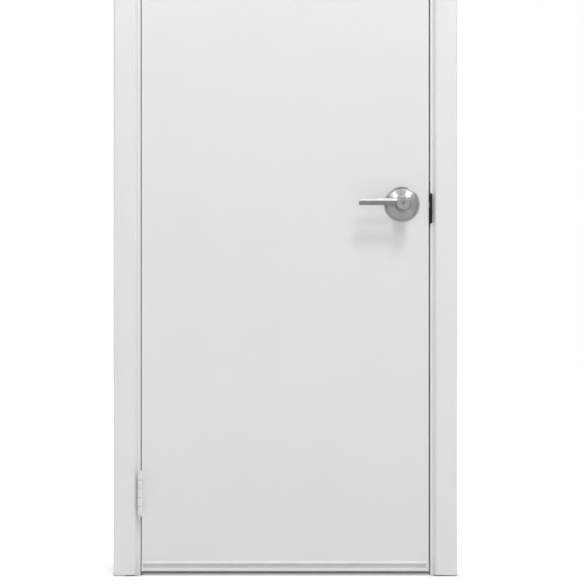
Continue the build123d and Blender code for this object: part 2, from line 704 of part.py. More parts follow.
def lock_rose(lock_plane):
    """Pressed conical rose: flat rim with a groove, cone and raised collar."""
    cone_start = ROSE_RADIUS - ROSE_RIM_WIDTH
    collar_base = ROSE_HEIGHT - ROSE_COLLAR_HEIGHT
    bore = NECK_RADIUS + NECK_CLEARANCE
    with BuildPart() as rose:
        with BuildSketch(Plane(lock_plane.origin, x_dir=lock_plane.x_dir, z_dir=-lock_plane.y_dir)):
            with BuildLine():
                Polyline(
                    (ROSE_RADIUS, 0),
                    (ROSE_RADIUS, ROSE_RIM - ROSE_GROOVE),
                    (ROSE_RADIUS - ROSE_GROOVE, ROSE_RIM),
                    (cone_start + ROSE_GROOVE, ROSE_RIM + ROSE_GROOVE / 2),
                    (cone_start, ROSE_RIM - ROSE_GROOVE / 2),
                    (cone_start - ROSE_GROOVE, ROSE_RIM + ROSE_GROOVE / 2),
                    (ROSE_COLLAR_RADIUS + ROSE_COLLAR_HEIGHT / 2, collar_base),
                    (ROSE_COLLAR_RADIUS, ROSE_HEIGHT - ROSE_GROOVE),
                    (ROSE_COLLAR_RADIUS - ROSE_GROOVE, ROSE_HEIGHT),
                    (bore, ROSE_HEIGHT),
                    (bore, ROSE_HEIGHT - ROSE_WALL),
                    (ROSE_COLLAR_RADIUS - ROSE_WALL, ROSE_HEIGHT - ROSE_WALL),
                    (ROSE_COLLAR_RADIUS - ROSE_WALL, collar_base - ROSE_WALL),
                    (cone_start, ROSE_RIM - ROSE_WALL),
                    (ROSE_RADIUS - ROSE_WALL, ROSE_RIM - ROSE_WALL),
                    (ROSE_RADIUS - ROSE_WALL, 0),
                    close=True,
                )
            make_face()
        revolve(axis=Axis(lock_plane.origin, lock_plane.z_dir))
    return rose


save(lock_rose(front_lock_plane), "front_rose")
save(lock_rose(rear_lock_plane), "rear_rose")


def lock_lever(lock_plane, arm_way, keyed):
    """Lever: shank, round hub and straight arm. arm_way is the arm's side in the plane's own x."""
    arm_mid = HUB_FRONT - ARM_FRONT_SETBACK - ARM_THICKNESS / 2
    with BuildPart() as lever:
        with BuildSketch(Plane(lock_plane.origin, x_dir=lock_plane.x_dir, z_dir=-lock_plane.y_dir)):
            with BuildLine():
                Polyline(
                    (0, -SHANK_DEPTH),
                    (SHANK_RADIUS, -SHANK_DEPTH),
                    (SHANK_RADIUS, hub_back),
                    (HUB_WAIST_RADIUS, hub_back),
                    (HUB_WAIST_RADIUS, hub_back + HUB_RADIUS / 2),
                    (HUB_RADIUS, arm_mid - ARM_HEIGHT / 2),
                    (HUB_RADIUS, HUB_FRONT - HUB_EDGE_BEVEL),
                    (HUB_RADIUS - HUB_EDGE_BEVEL, HUB_FRONT),
                    (0, HUB_FRONT),
                    close=True,
                )
            make_face()
        revolve(axis=Axis(lock_plane.origin, lock_plane.z_dir))
        arm_plane = Plane(
            lock_plane.origin + lock_plane.z_dir * arm_mid,
            x_dir=lock_plane.y_dir,
            z_dir=lock_plane.x_dir * arm_way,
        )
        with BuildSketch(arm_plane):
            with Locations((ARM_RISE, 0)):
                RectangleRounded(ARM_HEIGHT, ARM_THICKNESS, ARM_ROUNDING)
        extrude(amount=ARM_REACH)
        tip_face = lever.faces().sort_by(Axis(lock_plane.origin, lock_plane.x_dir * arm_way))[-1]
        fillet(tip_face.edges(), ARM_TIP_ROUNDING)
        if keyed:
            with BuildSketch(lock_plane.offset(HUB_FRONT)):
                Circle(PLUG_RADIUS + PLUG_RUNNING_CLEARANCE)
            extrude(amount=-(PLUG_LENGTH + PLUG_END_GAP), mode=Mode.SUBTRACT)
    return lever


save(lock_lever(front_lock_plane, -1, True), "front_lever")
save(lock_lever(rear_lock_plane, 1, False), "rear_lever")

# Key plug in the outer lever's hub
with BuildPart() as key_plug:
    with BuildSketch(front_lock_plane.offset(HUB_FRONT - PLUG_LENGTH)):
        Circle(PLUG_RADIUS)
    extrude(amount=PLUG_LENGTH + PLUG_PROUD)
    with BuildSketch(front_lock_plane.offset(HUB_FRONT + PLUG_PROUD)):
        SlotOverall(KEYWAY_LENGTH, KEYWAY_WIDTH, rotation=KEYWAY_ANGLE)
    extrude(amount=-KEYWAY_DEPTH, mode=Mode.SUBTRACT)
save(key_plug, "key_plug")

# Latch: face plate on the bevelled edge with its tube, and the bolt that slides in them
tube_inner_x = lock_x + LOCK_BORE_RADIUS + LATCH_TUBE_SEAT_GAP
with BuildPart() as latch_front:
    with BuildSketch(lock_edge_plane):
        Rectangle(LATCH_FACE_WIDTH, LATCH_FACE_HEIGHT)
    extrude(amount=-LATCH_FACE_THICKNESS)
    with BuildSketch(Plane.YZ.offset(tube_inner_x)):
        with Locations((leaf_mid_y, LOCK_HEIGHT)):
            Circle(LATCH_TUBE_RADIUS)
    extrude(amount=lock_edge_mid_x - LATCH_FACE_THICKNESS - tube_inner_x)
    with BuildSketch(Plane.YZ.offset(tube_inner_x)):
        with Locations((leaf_mid_y, LOCK_HEIGHT)):
            Circle(LATCH_TUBE_RADIUS - LATCH_TUBE_WALL)
    extrude(amount=lock_edge_mid_x - 2 * LATCH_FACE_THICKNESS - tube_inner_x, mode=Mode.SUBTRACT)
    with BuildSketch(Plane.YZ.offset(tube_inner_x)):
        with Locations((leaf_mid_y, LOCK_HEIGHT)):
            Rectangle(
                BOLT_WIDTH + 2 * BOLT_RUNNING_CLEARANCE,
                BOLT_HEIGHT + 2 * BOLT_RUNNING_CLEARANCE,
            )
    extrude(amount=LOCK_BACKSET, mode=Mode.SUBTRACT)
    with Locations(lock_edge_plane):
        with GridLocations(1, LATCH_FACE_HEIGHT - 2 * LATCH_SCREW_FROM_END, 1, 2):
            CounterSinkHole(LATCH_SCREW_RADIUS, LATCH_SCREW_HEAD_RADIUS, depth=LATCH_FACE_THICKNESS)
save(latch_front, "latch_front")

with BuildPart() as latch_bolt:
    with BuildSketch(Plane.XY.offset(LOCK_HEIGHT)):
        with BuildLine():
            Polyline(
                (lock_edge_mid_x - BOLT_TAIL, leaf_mid_y - BOLT_WIDTH / 2),
                (bolt_tip_x, leaf_mid_y - BOLT_WIDTH / 2),
                (bolt_tip_x, leaf_mid_y - BOLT_WIDTH / 2 + BOLT_NOSE),
                (lock_edge_mid_x, leaf_mid_y + BOLT_WIDTH / 2),
                (lock_edge_mid_x - BOLT_TAIL, leaf_mid_y + BOLT_WIDTH / 2),
                close=True,
            )
        make_face()
    extrude(amount=BOLT_HEIGHT / 2, both=True)
save(latch_bolt, "latch_bolt")

# Strike: flush plate whose lip curls out in front of the jamb
lip_bend_y = frame_front_y - LIP_STRAIGHT
lip_end_y = lip_bend_y - LIP_RADIUS * sin(radians(LIP_ANGLE))
with BuildPart() as strike_plate:
    with BuildSketch(Plane.XY.offset(lip_mid_z)):
        with BuildLine():
            flat = Line((strike_face_x, leaf_mid_y), (strike_face_x, lip_bend_y))
            JernArc(start=flat @ 1, tangent=flat % 1, radius=LIP_RADIUS, arc_size=LIP_ANGLE)
            offset(amount=STRIKE_THICKNESS, side=Side.LEFT)
        make_face()
    extrude(amount=LIP_HEIGHT / 2, both=True)
    with BuildSketch(Plane.YZ.offset(strike_face_x)):
        with Locations((leaf_mid_y, lip_mid_z)):
            lip_outline = Rectangle(2 * (leaf_mid_y - lip_end_y), LIP_HEIGHT)
        chamfer(lip_outline.vertices(), LIP_CORNER)
    extrude(amount=LIP_RADIUS, both=True, mode=Mode.INTERSECT)
    with BuildSketch(Plane.YZ.offset(strike_face_x)):
        with Locations((leaf_mid_y, LOCK_HEIGHT)):
            RectangleRounded(STRIKE_WIDTH, STRIKE_HEIGHT, STRIKE_CORNER_RADIUS)
    extrude(amount=STRIKE_THICKNESS)
    with BuildSketch(Plane.YZ.offset(strike_face_x)):
        with Locations((strike_hole_mid_y, LOCK_HEIGHT)):
            RectangleRounded(STRIKE_HOLE_WIDTH, STRIKE_HOLE_HEIGHT, STRIKE_CORNER_RADIUS)
    extrude(amount=2 * STRIKE_THICKNESS, both=True, mode=Mode.SUBTRACT)
    with Locations(Plane(origin=(strike_face_x, leaf_mid_y, LOCK_HEIGHT), x_dir=(0, 1, 0), z_dir=(-1, 0, 0))):
        with GridLocations(1, STRIKE_HEIGHT - 2 * STRIKE_SCREW_FROM_END, 1, 2):
            CounterSinkHole(SCREW_RADIUS, SCREW_HEAD_RADIUS, depth=STRIKE_THICKNESS)
save(strike_plate, "strike_plate")

# Mortar box behind the strike, with a flange that the strike is screwed to
with BuildPart() as strike_box:
    with BuildSketch(Plane.YZ.offset(strike_rear_x)):
        with Locations((leaf_mid_y, LOCK_HEIGHT)):
            Rectangle(STRIKE_WIDTH, STRIKE_HEIGHT + 2 * BOX_FLANGE_MARGIN)
    extrude(amount=BOX_FLANGE_THICKNESS)
    with BuildSketch(Plane.YZ.offset(strike_rear_x)):
        with Locations((strike_hole_mid_y, LOCK_HEIGHT)):
            Rectangle(STRIKE_HOLE_WIDTH + 2 * BOX_WALL, STRIKE_HOLE_HEIGHT + 2 * BOX_WALL)
    extrude(amount=BOX_DEPTH)
    with BuildSketch(Plane.YZ.offset(strike_rear_x)):
        with Locations((strike_hole_mid_y, LOCK_HEIGHT)):
            Rectangle(STRIKE_HOLE_WIDTH, STRIKE_HOLE_HEIGHT)
    extrude(amount=BOX_DEPTH - BOX_WALL, mode=Mode.SUBTRACT)
save(strike_box, "strike_box")

# Rubber silencers in the strike jamb's stop
silencer_x = strike_face_x - SILENCER_FROM_STOP_EDGE
silencer_head = STOP_FACE_GAP - SILENCER_TOUCH_GAP
with BuildPart() as silencers:
    for number in range(SILENCER_COUNT):
        centre_z = FLANGE_ROWS_MID_HEIGHT + (number - (SILENCER_COUNT - 1) / 2) * SILENCER_PITCH
        with BuildSketch(Plane(origin=(silencer_x, stop_face_y, centre_z), z_dir=(0, 0, 1))):
            with BuildLine():
                Polyline(
                    (0, -silencer_head),
                    (SILENCER_STEM_RADIUS, -silencer_head),
                    (SILENCER_RADIUS, -silencer_head / 2),
                    (SILENCER_RADIUS, 0),
                    (SILENCER_STEM_RADIUS, 0),
                    (SILENCER_STEM_RADIUS, FRAME_SHEET),
                    (SILENCER_TAIL_RADIUS, FRAME_SHEET),
                    (SILENCER_STEM_RADIUS / 2, FRAME_SHEET + SILENCER_TAIL_LENGTH),
                    (0, FRAME_SHEET + SILENCER_TAIL_LENGTH),
                    close=True,
                )
            make_face()
        revolve(axis=Axis((silencer_x, stop_face_y, centre_z), (0, 1, 0)))
save(silencers, "silencers")

# Bottom sweep on the leaf's front face
sweep_start_x = leaf_hinge_x + SWEEP_END_INSET
sweep_end_x = leaf_lock_x - SWEEP_END_INSET
sweep_run_start_x = sweep_start_x + SWEEP_HINGE_CAP_LENGTH
sweep_run = sweep_end_x - SWEEP_LOCK_CAP_LENGTH - sweep_run_start_x
sweep_back_y = leaf_front_y
sweep_floor_y = sweep_back_y - SWEEP_BACK
sweep_front_y = sweep_back_y - SWEEP_PROJECTION
sweep_top_z = SWEEP_BOTTOM + SWEEP_HEIGHT
band_bottom_z = SWEEP_BOTTOM + SWEEP_BOTTOM_RAIL
band_top_z = sweep_top_z - SWEEP_TOP_RAIL
blade_front_y = sweep_floor_y - SWEEP_BLADE_THICKNESS
blade_top_z = SWEEP_BOTTOM + SWEEP_BLADE_GRIP

with BuildPart() as sweep_retainer:
    with BuildSketch(Plane.YZ.offset(sweep_run_start_x)):
        with BuildLine():
            FilletPolyline(
                (sweep_back_y, SWEEP_BOTTOM),
                (sweep_back_y, sweep_top_z),
                (sweep_front_y, sweep_top_z),
                (sweep_front_y, band_top_z),
                (sweep_floor_y, band_top_z),
                (sweep_floor_y, band_bottom_z),
                (sweep_front_y, band_bottom_z),
                (sweep_front_y, SWEEP_BOTTOM),
                radius=[0, SWEEP_TOP_ROUNDING, SWEEP_RAIL_ROUNDING, 0, 0, SWEEP_RAIL_ROUNDING],
            )
            Line((sweep_front_y, SWEEP_BOTTOM), (sweep_back_y, SWEEP_BOTTOM))
        make_face()
        with Locations(((sweep_floor_y + blade_front_y) / 2, SWEEP_BOTTOM)):
            Rectangle(SWEEP_BLADE_THICKNESS, 2 * SWEEP_BLADE_GRIP, mode=Mode.SUBTRACT)
    extrude(amount=sweep_run)
save(sweep_retainer, "sweep_retainer")

with BuildPart() as sweep_insert:
    with BuildSketch(Plane.YZ.offset(sweep_run_start_x)):
        with Locations((sweep_floor_y - SWEEP_INSERT_THICKNESS / 2, (band_bottom_z + band_top_z) / 2)):
            Rectangle(SWEEP_INSERT_THICKNESS, band_top_z - band_bottom_z)
    extrude(amount=sweep_run)
save(sweep_insert, "sweep_insert")

with BuildPart() as sweep_blade:
    with BuildSketch(Plane.YZ.offset(sweep_start_x)):
        with Locations(((sweep_floor_y + blade_front_y) / 2, (SWEEP_BLADE_FLOOR_GAP + SWEEP_BOTTOM) / 2)):
            Rectangle(SWEEP_BLADE_THICKNESS, SWEEP_BOTTOM - SWEEP_BLADE_FLOOR_GAP)
    extrude(amount=sweep_end_x - sweep_start_x)
    with BuildSketch(Plane.YZ.offset(sweep_run_start_x)):
        with Locations(((sweep_floor_y + blade_front_y) / 2, (SWEEP_BOTTOM + blade_top_z) / 2)):
            Rectangle(SWEEP_BLADE_THICKNESS, SWEEP_BLADE_GRIP)
    extrude(amount=sweep_run)
save(sweep_blade, "sweep_blade")

with BuildPart() as sweep_end_caps:
    for cap_x, cap_length in (
        (sweep_start_x, SWEEP_HINGE_CAP_LENGTH),
        (sweep_end_x - SWEEP_LOCK_CAP_LENGTH, SWEEP_LOCK_CAP_LENGTH),
    ):
        with BuildSketch(Plane.YZ.offset(cap_x)):
            with Locations(((sweep_back_y + sweep_front_y) / 2, SWEEP_BOTTOM + SWEEP_HEIGHT / 2)):
                Rectangle(SWEEP_PROJECTION, SWEEP_HEIGHT)
        extrude(amount=cap_length)
save(sweep_end_caps, "sweep_end_caps")
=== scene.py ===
"""Dressed model of the steel fire door: new surfaces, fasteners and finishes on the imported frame."""

import logging
import math
from dataclasses import dataclass, field
from enum import Enum
from typing import Iterable, Sequence

import bmesh
import bpy
from mathutils import Matrix, Vector


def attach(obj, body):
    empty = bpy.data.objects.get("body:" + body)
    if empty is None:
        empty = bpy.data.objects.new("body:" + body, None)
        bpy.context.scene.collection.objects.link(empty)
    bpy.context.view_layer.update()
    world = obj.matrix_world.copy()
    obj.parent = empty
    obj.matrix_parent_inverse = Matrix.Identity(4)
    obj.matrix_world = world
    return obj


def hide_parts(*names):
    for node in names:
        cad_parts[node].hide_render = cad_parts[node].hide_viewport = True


LOG = logging.getLogger("fire_door")
Colour = tuple[float, float, float]
Point = tuple[float, float, float]
Pair = tuple[float, float]
BMesh = bmesh.types.BMesh
BMEdge = bmesh.types.BMEdge
BMVert = bmesh.types.BMVert
Material = bpy.types.Material
Socket = bpy.types.NodeSocket

# One millimetre in metres, and two tolerances in millimetres
MM = 0.001
NEAR = 1e-3
MERGE = 1e-4

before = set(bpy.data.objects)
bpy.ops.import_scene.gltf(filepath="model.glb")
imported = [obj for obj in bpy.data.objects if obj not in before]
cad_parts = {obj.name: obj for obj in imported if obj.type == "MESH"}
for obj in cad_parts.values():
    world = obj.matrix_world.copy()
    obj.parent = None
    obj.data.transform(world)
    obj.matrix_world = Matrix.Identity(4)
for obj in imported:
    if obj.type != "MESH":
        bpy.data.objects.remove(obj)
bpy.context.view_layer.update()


class Body(Enum):
    """Bodies of the door that new pieces ride on."""

    FRAME = "frame"
    LEAF = "leaf"
    FRONT_LEVER = "front_lever"
    REAR_LEVER = "rear_lever"
    KEY_PLUG = "key_plug"


class Face(Enum):
    """Faces of the door and of the wall: the value is the way their outside points along Y."""

    FRONT = -1
    REAR = 1


class Run(Enum):
    """Members of the frame, as they lie around the opening."""

    HINGE_SIDE = "hinge_side"
    STRIKE_SIDE = "strike_side"
    HEAD = "head"


@dataclass(frozen=True)
class Datum:
    """Places that the sub-assemblies share, in millimetres in the row's frame."""

    hinge_face: float = 35.0
    strike_face: float = 797.0
    soffit: float = 2032.0
    wall: float = 123.8
    frame_front: float = -2.4
    leaf_front: float = -2.4
    leaf_rear: float = 42.05
    lock_x: float = 722.5609
    lock_z: float = 976.5
    pivot_x: float = 36.1
    pivot_y: float = -21.45
    hinge_heights: Pair = (218.5, 1825.3)


DATUM = Datum()


# Materials


class NodeBoard:
    """Lays out the nodes of one material or world."""

    def __init__(self, owner: Material | bpy.types.World) -> None:
        """Empty the owner's node tree.

        Args:
            owner: The material or world that the nodes belong to.
        """
        self.owner = owner
        owner.use_nodes = True
        self.tree = owner.node_tree
        self.tree.nodes.clear()

    def add(self, kind: str, sockets: dict | None = None, **settings) -> bpy.types.Node:
        """Add a node.

        Args:
            kind: Node type without its ShaderNode prefix.
            sockets: Values or output sockets for its inputs, by name or number.
            settings: Attributes of the node itself.

        Returns:
            The new node.
        """
        node = self.tree.nodes.new("ShaderNode" + kind)
        for key, value in settings.items():
            setattr(node, key, value)
        for key, value in (sockets or {}).items():
            socket = node.inputs[key]
            if isinstance(value, Socket):
                self.tree.links.new(value, socket)
            else:
                socket.default_value = value
        return node

    def maths(self, operation: str, *terms: Socket | float) -> Socket:
        """Work out a sum, a product or the like, kept between 0 and 1."""
        return self.add("Math", dict(enumerate(terms)), operation=operation, use_clamp=True).outputs[0]

    def vector(self, operation: str, *terms: Socket | Point) -> Socket:
        """Work out a vector from other vectors."""
        return self.add("VectorMath", dict(enumerate(terms)), operation=operation).outputs[0]

    def length(self, vector: Socket) -> Socket:
        """Work out a vector's length."""
        return self.add("VectorMath", {0: vector}, operation="LENGTH").outputs["Value"]

    def object_coords(self, centre: Point = (0, 0, 0), scale: Point = (1, 1, 1)) -> Socket:
        """Object coordinates, moved to a centre and then stretched.

        Args:
            centre: Millimetres from the row's origin.
            scale: Factor along each axis.

        Returns:
            The vector socket.
        """
        coords = self.add("TexCoord").outputs["Object"]
        moved = self.vector("SUBTRACT", coords, tuple(MM * c for c in centre))
        return self.vector("MULTIPLY", moved, scale)

    def noise(self, coords: Socket, scale: float, detail: float = 2.0) -> Socket:
        """Noise over coordinates in metres, with a scale in cells to the metre."""
        return self.add("TexNoise", {"Vector": coords, "Scale": scale, "Detail": detail}).outputs[0]

    def spread(self, value: Socket, low: float, high: float, start: float = 0.3, end: float = 0.7) -> Socket:
        """Map the values from start to end onto the range from low to high."""
        return self.add("MapRange", {0: value, 1: start, 2: end, 3: low, 4: high}).outputs[0]

    def haze(
        self, coords: Socket, roughness: float, scale: float, less: float = 0.03, more: float = 0.05
    ) -> Socket:
        """Roughness that wanders between a little less and a little more."""
        return self.spread(self.noise(coords, scale, 3.0), roughness - less, roughness + more)

    def tint(self, factor: Socket, dark: Colour, light: Colour) -> Socket:
        """Mix two colours.

        Args:
            factor: 0 gives dark, 1 gives light.
            dark: Linear colour.
            light: Linear colour.

        Returns:
            The colour socket.
        """
        ramp = self.add("ValToRGB", {0: factor})
        ramp.color_ramp.elements[0].color = (*dark, 1)
        ramp.color_ramp.elements[1].color = (*light, 1)
        return ramp.outputs[0]

    def shaded(self, factor: Socket, colour: Colour, share: float) -> Socket:
        """Mix a colour with a darker share of itself."""
        return self.tint(factor, tuple(share * c for c in colour), colour)

    def bump(self, height: Socket, depth: float, normal: Socket | None = None) -> Socket:
        """Bump from a height.

        Args:
            height: Height from 0 to 1.
            depth: Millimetres that a height of 1 stands for.
            normal: Normal to start from.

        Returns:
            The normal socket.
        """
        sockets = {"Height": height, "Distance": depth * MM, "Strength": 1.0}
        if normal is not None:
            sockets["Normal"] = normal
        return self.add("Bump", sockets).outputs[0]

    def surface(
        self, colour: Socket, roughness: Socket | float, normal: Socket, others: dict | None = None
    ) -> Material:
        """End the tree in one Principled shader.

        Args:
            colour: Its base colour.
            roughness: Its roughness.
            normal: Its normal.
            others: Its other inputs.

        Returns:
            The finished material.
        """
        sockets = {"Base Color": colour, "Roughness": roughness, "Normal": normal, **(others or {})}
        self.add("OutputMaterial", {0: self.add("BsdfPrincipled", sockets).outputs[0]})
        return self.owner


@dataclass(frozen=True)
class Enamel:
    """Factory enamel on sheet steel: faint orange peel, slight mottle of tone and gloss."""

    name: str
    colour: Colour = (0.80, 0.80, 0.815)
    roughness: float = 0.42
    peel: float = 0.012
    dark_share: float = 0.985
    mottle_scale: float = 5.0
    haze_scale: float = 38.0
    glossier: float = 0.04
    peel_scale: float = 420.0
    grain_share: float = 0.25
    grain_scale: float = 2600.0

    def material(self) -> Material:
        """Build the enamel's nodes."""
        board = NodeBoard(bpy.data.materials.new(self.name))
        coords = board.object_coords()
        mottle = board.spread(board.noise(coords, self.mottle_scale, detail=4.0), 0.0, 1.0)
        tone = board.shaded(mottle, self.colour, self.dark_share)
        gloss = board.haze(coords, self.roughness, self.haze_scale, less=self.glossier)
        peel = board.bump(board.noise(coords, self.peel_scale, detail=1.0), self.peel)
        grain = board.noise(coords, self.grain_scale, detail=1.0)
        return board.surface(tone, gloss, board.bump(grain, self.grain_share * self.peel, peel))


@dataclass(frozen=True)
class TurnedMetal:
    """Satin metal turned on a lathe: fine rings about its axis and a stretched gloss."""

    name: str
    colour: Colour
    roughness: float
    stretch: float = 0.82
    centre: Point = (DATUM.lock_x, 0.0, DATUM.lock_z)
    ring_scale: float = 5200.0
    ring_sharpness: float = 0.7
    ring_depth: float = 0.006
    dark_share: float = 0.90
    haze_scale: float = 60.0

    def material(self) -> Material:
        """Build the turned metal's nodes."""
        board = NodeBoard(bpy.data.materials.new(self.name))
        radius = board.length(board.object_coords(self.centre, (1, 0, 1)))
        layout = {"W": radius, "Scale": self.ring_scale, "Detail": 3.0, "Roughness": self.ring_sharpness}
        rings = board.add("TexNoise", layout, noise_dimensions="1D").outputs[0]
        tone = board.shaded(board.spread(rings, 0.0, 1.0), self.colour, self.dark_share)
        gloss = board.haze(board.object_coords(), self.roughness, self.haze_scale)
        tangent = board.add("Tangent", direction_type="UV_MAP", uv_map="grain").outputs[0]
        metal = {"Metallic": 1.0, "Anisotropic": self.stretch, "Tangent": tangent}
        return board.surface(tone, gloss, board.bump(rings, self.ring_depth), metal)


@dataclass(frozen=True)
class BrushedMetal:
    """Satin metal brushed in one direction."""

    name: str
    colour: Colour
    roughness: float
    strokes: Point = (14.0, 900.0, 900.0)
    depth: float = 0.006
    dark_share: float = 0.90
    haze_scale: float = 45.0

    def material(self) -> Material:
        """Build the brushed metal's nodes."""
        board = NodeBoard(bpy.data.materials.new(self.name))
        strokes = board.noise(board.object_coords(scale=self.strokes), 1.0, detail=3.0)
        tone = board.shaded(board.spread(strokes, 0.0, 1.0), self.colour, self.dark_share)
        gloss = board.haze(board.object_coords(), self.roughness, self.haze_scale)
        return board.surface(tone, gloss, board.bump(strokes, self.depth), {"Metallic": 1.0})


@dataclass(frozen=True)
class ZincPlate:
    """Zinc plated sheet with a faint spangle."""

    name: str
    colour: Colour = (0.58, 0.60, 0.61)
    dark_share: float = 0.82
    spangle_scale: float = 160.0
    roughness: Pair = (0.32, 0.5)
    haze_scale: float = 25.0
    grain_scale: float = 900.0
    grain_depth: float = 0.01

    def material(self) -> Material:
        """Build the zinc's nodes."""
        board = NodeBoard(bpy.data.materials.new(self.name))
        coords = board.object_coords()
        layout = {"Vector": coords, "Scale": self.spangle_scale}
        spangle = board.add("TexVoronoi", layout, feature="F1").outputs["Color"]
        grey = board.spread(board.add("RGBToBW", {0: spangle}).outputs[0], 0.0, 1.0, 0.0, 1.0)
        tone = board.shaded(grey, self.colour, self.dark_share)
        gloss = board.spread(board.noise(coords, self.haze_scale, detail=4.0), *self.roughness)
        grain = board.bump(board.noise(coords, self.grain_scale), self.grain_depth)
        return board.surface(tone, gloss, grain, {"Metallic": 1.0})


@dataclass(frozen=True)
class Moulding:
    """Moulded or coated surface with a fine grain: coatings, plastics and rubbers."""

    name: str
    colour: Colour
    roughness: float
    grain_scale: float
    grain_depth: float
    mottle: float
    metallic: float = 0.0
    specular: float = 0.5
    mottle_scale: float = 18.0
    haze_scale: float = 60.0
    wander: Pair = (0.05, 0.06)

    def material(self) -> Material:
        """Build the moulding's nodes."""
        board = NodeBoard(bpy.data.materials.new(self.name))
        coords = board.object_coords()
        mottle = board.spread(board.noise(coords, self.mottle_scale, detail=4.0), 0.0, 1.0)
        tone = board.shaded(mottle, self.colour, 1 - self.mottle)
        gloss = board.haze(coords, self.roughness, self.haze_scale, *self.wander)
        grain = board.bump(board.noise(coords, self.grain_scale), self.grain_depth)
        shine = {"Metallic": self.metallic, "Specular IOR Level": self.specular}
        return board.surface(tone, gloss, grain, shine)


@dataclass(frozen=True)
class HoneycombCore:
    """Resin-stiffened honeycomb board inside the leaf, its cell hollows darkened with painted shade."""

    name: str
    wall: Colour = (0.42, 0.31, 0.18)
    # Colour of the cell hollows: painted shade inside the cells, not a different paper.
    hollow_painted_shade: Colour = (0.16, 0.11, 0.06)
    cell: float = 14.0
    unevenness: float = 0.25
    wall_edge: Pair = (0.02, 0.09)
    roughness: float = 0.85
    relief: float = 0.6

    def material(self) -> Material:
        """Build the board's nodes."""
        board = NodeBoard(bpy.data.materials.new(self.name))
        coords = board.object_coords()
        layout = {"Vector": coords, "Scale": 1 / (self.cell * MM), "Randomness": self.unevenness}
        cells = board.add("TexVoronoi", layout, feature="DISTANCE_TO_EDGE").outputs["Distance"]
        edge = board.spread(cells, 1.0, 0.0, *self.wall_edge)
        tone = board.tint(edge, self.hollow_painted_shade, self.wall)
        return board.surface(tone, self.roughness, board.bump(edge, self.relief))


# Every finish on the door, by the name that the sub-assemblies use
FINISHES = {
    "frame": Enamel("frame_enamel"),
    "leaf": Enamel("leaf_enamel", (0.795, 0.795, 0.812), 0.40),
    "hinge": Enamel("hinge_enamel", (0.78, 0.78, 0.795), 0.34, 0.006),
    # Rose, hub, lever and key plug: satin nickel darkened well below the latch's, a painted dark reflection
    # of dim surroundings; the lever is darkest so its lower half reads dark.
    "rose": TurnedMetal("turned_rose_metal", (0.37, 0.37, 0.362), 0.30, 0.87),
    "hub": TurnedMetal("turned_hub_metal", (0.36, 0.36, 0.353), 0.24),
    "lever": BrushedMetal("brushed_lever_metal", (0.24, 0.24, 0.238), 0.24),
    "plug": BrushedMetal("brushed_plug_metal", (0.36, 0.36, 0.352), 0.30, (900.0, 900.0, 900.0)),
    "latch": BrushedMetal("brushed_latch_metal", (0.50, 0.50, 0.49), 0.33, (900.0, 900.0, 12.0)),
    "zinc": ZincPlate("zinc_plate"),
    "strike": Moulding("black_strike_coat", (0.010, 0.010, 0.011), 0.40, 900.0, 0.01, 0.3, 0.0, 0.2),
    "sweep": Moulding("white_sweep_coat", (0.80, 0.80, 0.81), 0.42, 700.0, 0.01, 0.02),
    "band": Moulding("grey_sweep_vinyl", (0.67, 0.67, 0.68), 0.55, 1100.0, 0.02, 0.06),
    "cap": Moulding("white_cap_plastic", (0.76, 0.76, 0.77), 0.45, 1300.0, 0.015, 0.02),
    "blade": Moulding("dark_blade_rubber", (0.18, 0.18, 0.183), 0.62, 900.0, 0.03, 0.15),
    "silencer": Moulding("grey_silencer_rubber", (0.30, 0.30, 0.30), 0.60, 900.0, 0.03, 0.1),
    "screw": Moulding("painted_screw_steel", (0.66, 0.66, 0.67), 0.32, 1400.0, 0.006, 0.05, 0.35),
    # Near-black ward finish: painted shade in the depth of the keyway.
    "ward_painted_shade": Moulding("painted_keyway_shade_black", (0.02, 0.02, 0.02), 0.5, 900.0, 0.01, 0.2, 0.0, 0.2),
    "core": HoneycombCore("honeycomb_core_board"),
}


# Mesh work


def only(kind: type, elements: Iterable[object]) -> list:
    """Pick the elements of one kind out of an operator's result."""
    return [element for element in elements if isinstance(element, kind)]


def runs_along(edge: BMEdge, axis: int) -> bool:
    """Tell whether an edge covers more than a millimetre of an axis."""
    return abs(edge.verts[0].co[axis] - edge.verts[1].co[axis]) > 1


def round_edges(bm: BMesh, edges: list[BMEdge], width: float, segments: int, clamp: bool = True) -> None:
    """Round some edges of a piece. Neighbouring roundings stop where they meet, unless clamp is false."""
    bmesh.ops.bevel(
        bm, geom=edges, offset=width, offset_type="OFFSET", segments=segments, profile=0.5,
        affect="EDGES", material=-1, clamp_overlap=clamp,
    )


def soften(bm: BMesh, width: float, segments: int = 2, sharper_than: float = 30.0) -> None:
    """Round every edge that is sharper than an angle.

    Args:
        bm: The piece.
        width: Width of the rounding.
        segments: Faces across it.
        sharper_than: Least angle between the faces, in degrees.
    """
    limit = math.radians(sharper_than)
    edges = [e for e in bm.edges if len(e.link_faces) == 2 and e.calc_face_angle(0.0) > limit]
    round_edges(bm, edges, width, segments)


def turned(points: Sequence[Pair], steps: int) -> BMesh:
    """Turn an outline about the Z axis.

    Args:
        points: Radius and height along the outline. It may start and end on the axis.
        steps: Faces round the axis.

    Returns:
        The turned piece.
    """
    bm = bmesh.new()
    verts = [bm.verts.new((r, 0.0, h)) for r, h in points]
    edges = [bm.edges.new(pair) for pair in zip(verts, verts[1:])]
    bmesh.ops.spin(
        bm, geom=verts + edges, cent=(0, 0, 0), axis=(0, 0, 1), dvec=(0, 0, 0),
        angle=math.tau, steps=steps, use_merge=True, use_normal_flip=False, use_duplicate=False,
    )
    bmesh.ops.remove_doubles(bm, verts=bm.verts, dist=MERGE)
    bmesh.ops.recalc_face_normals(bm, faces=bm.faces)
    return bm


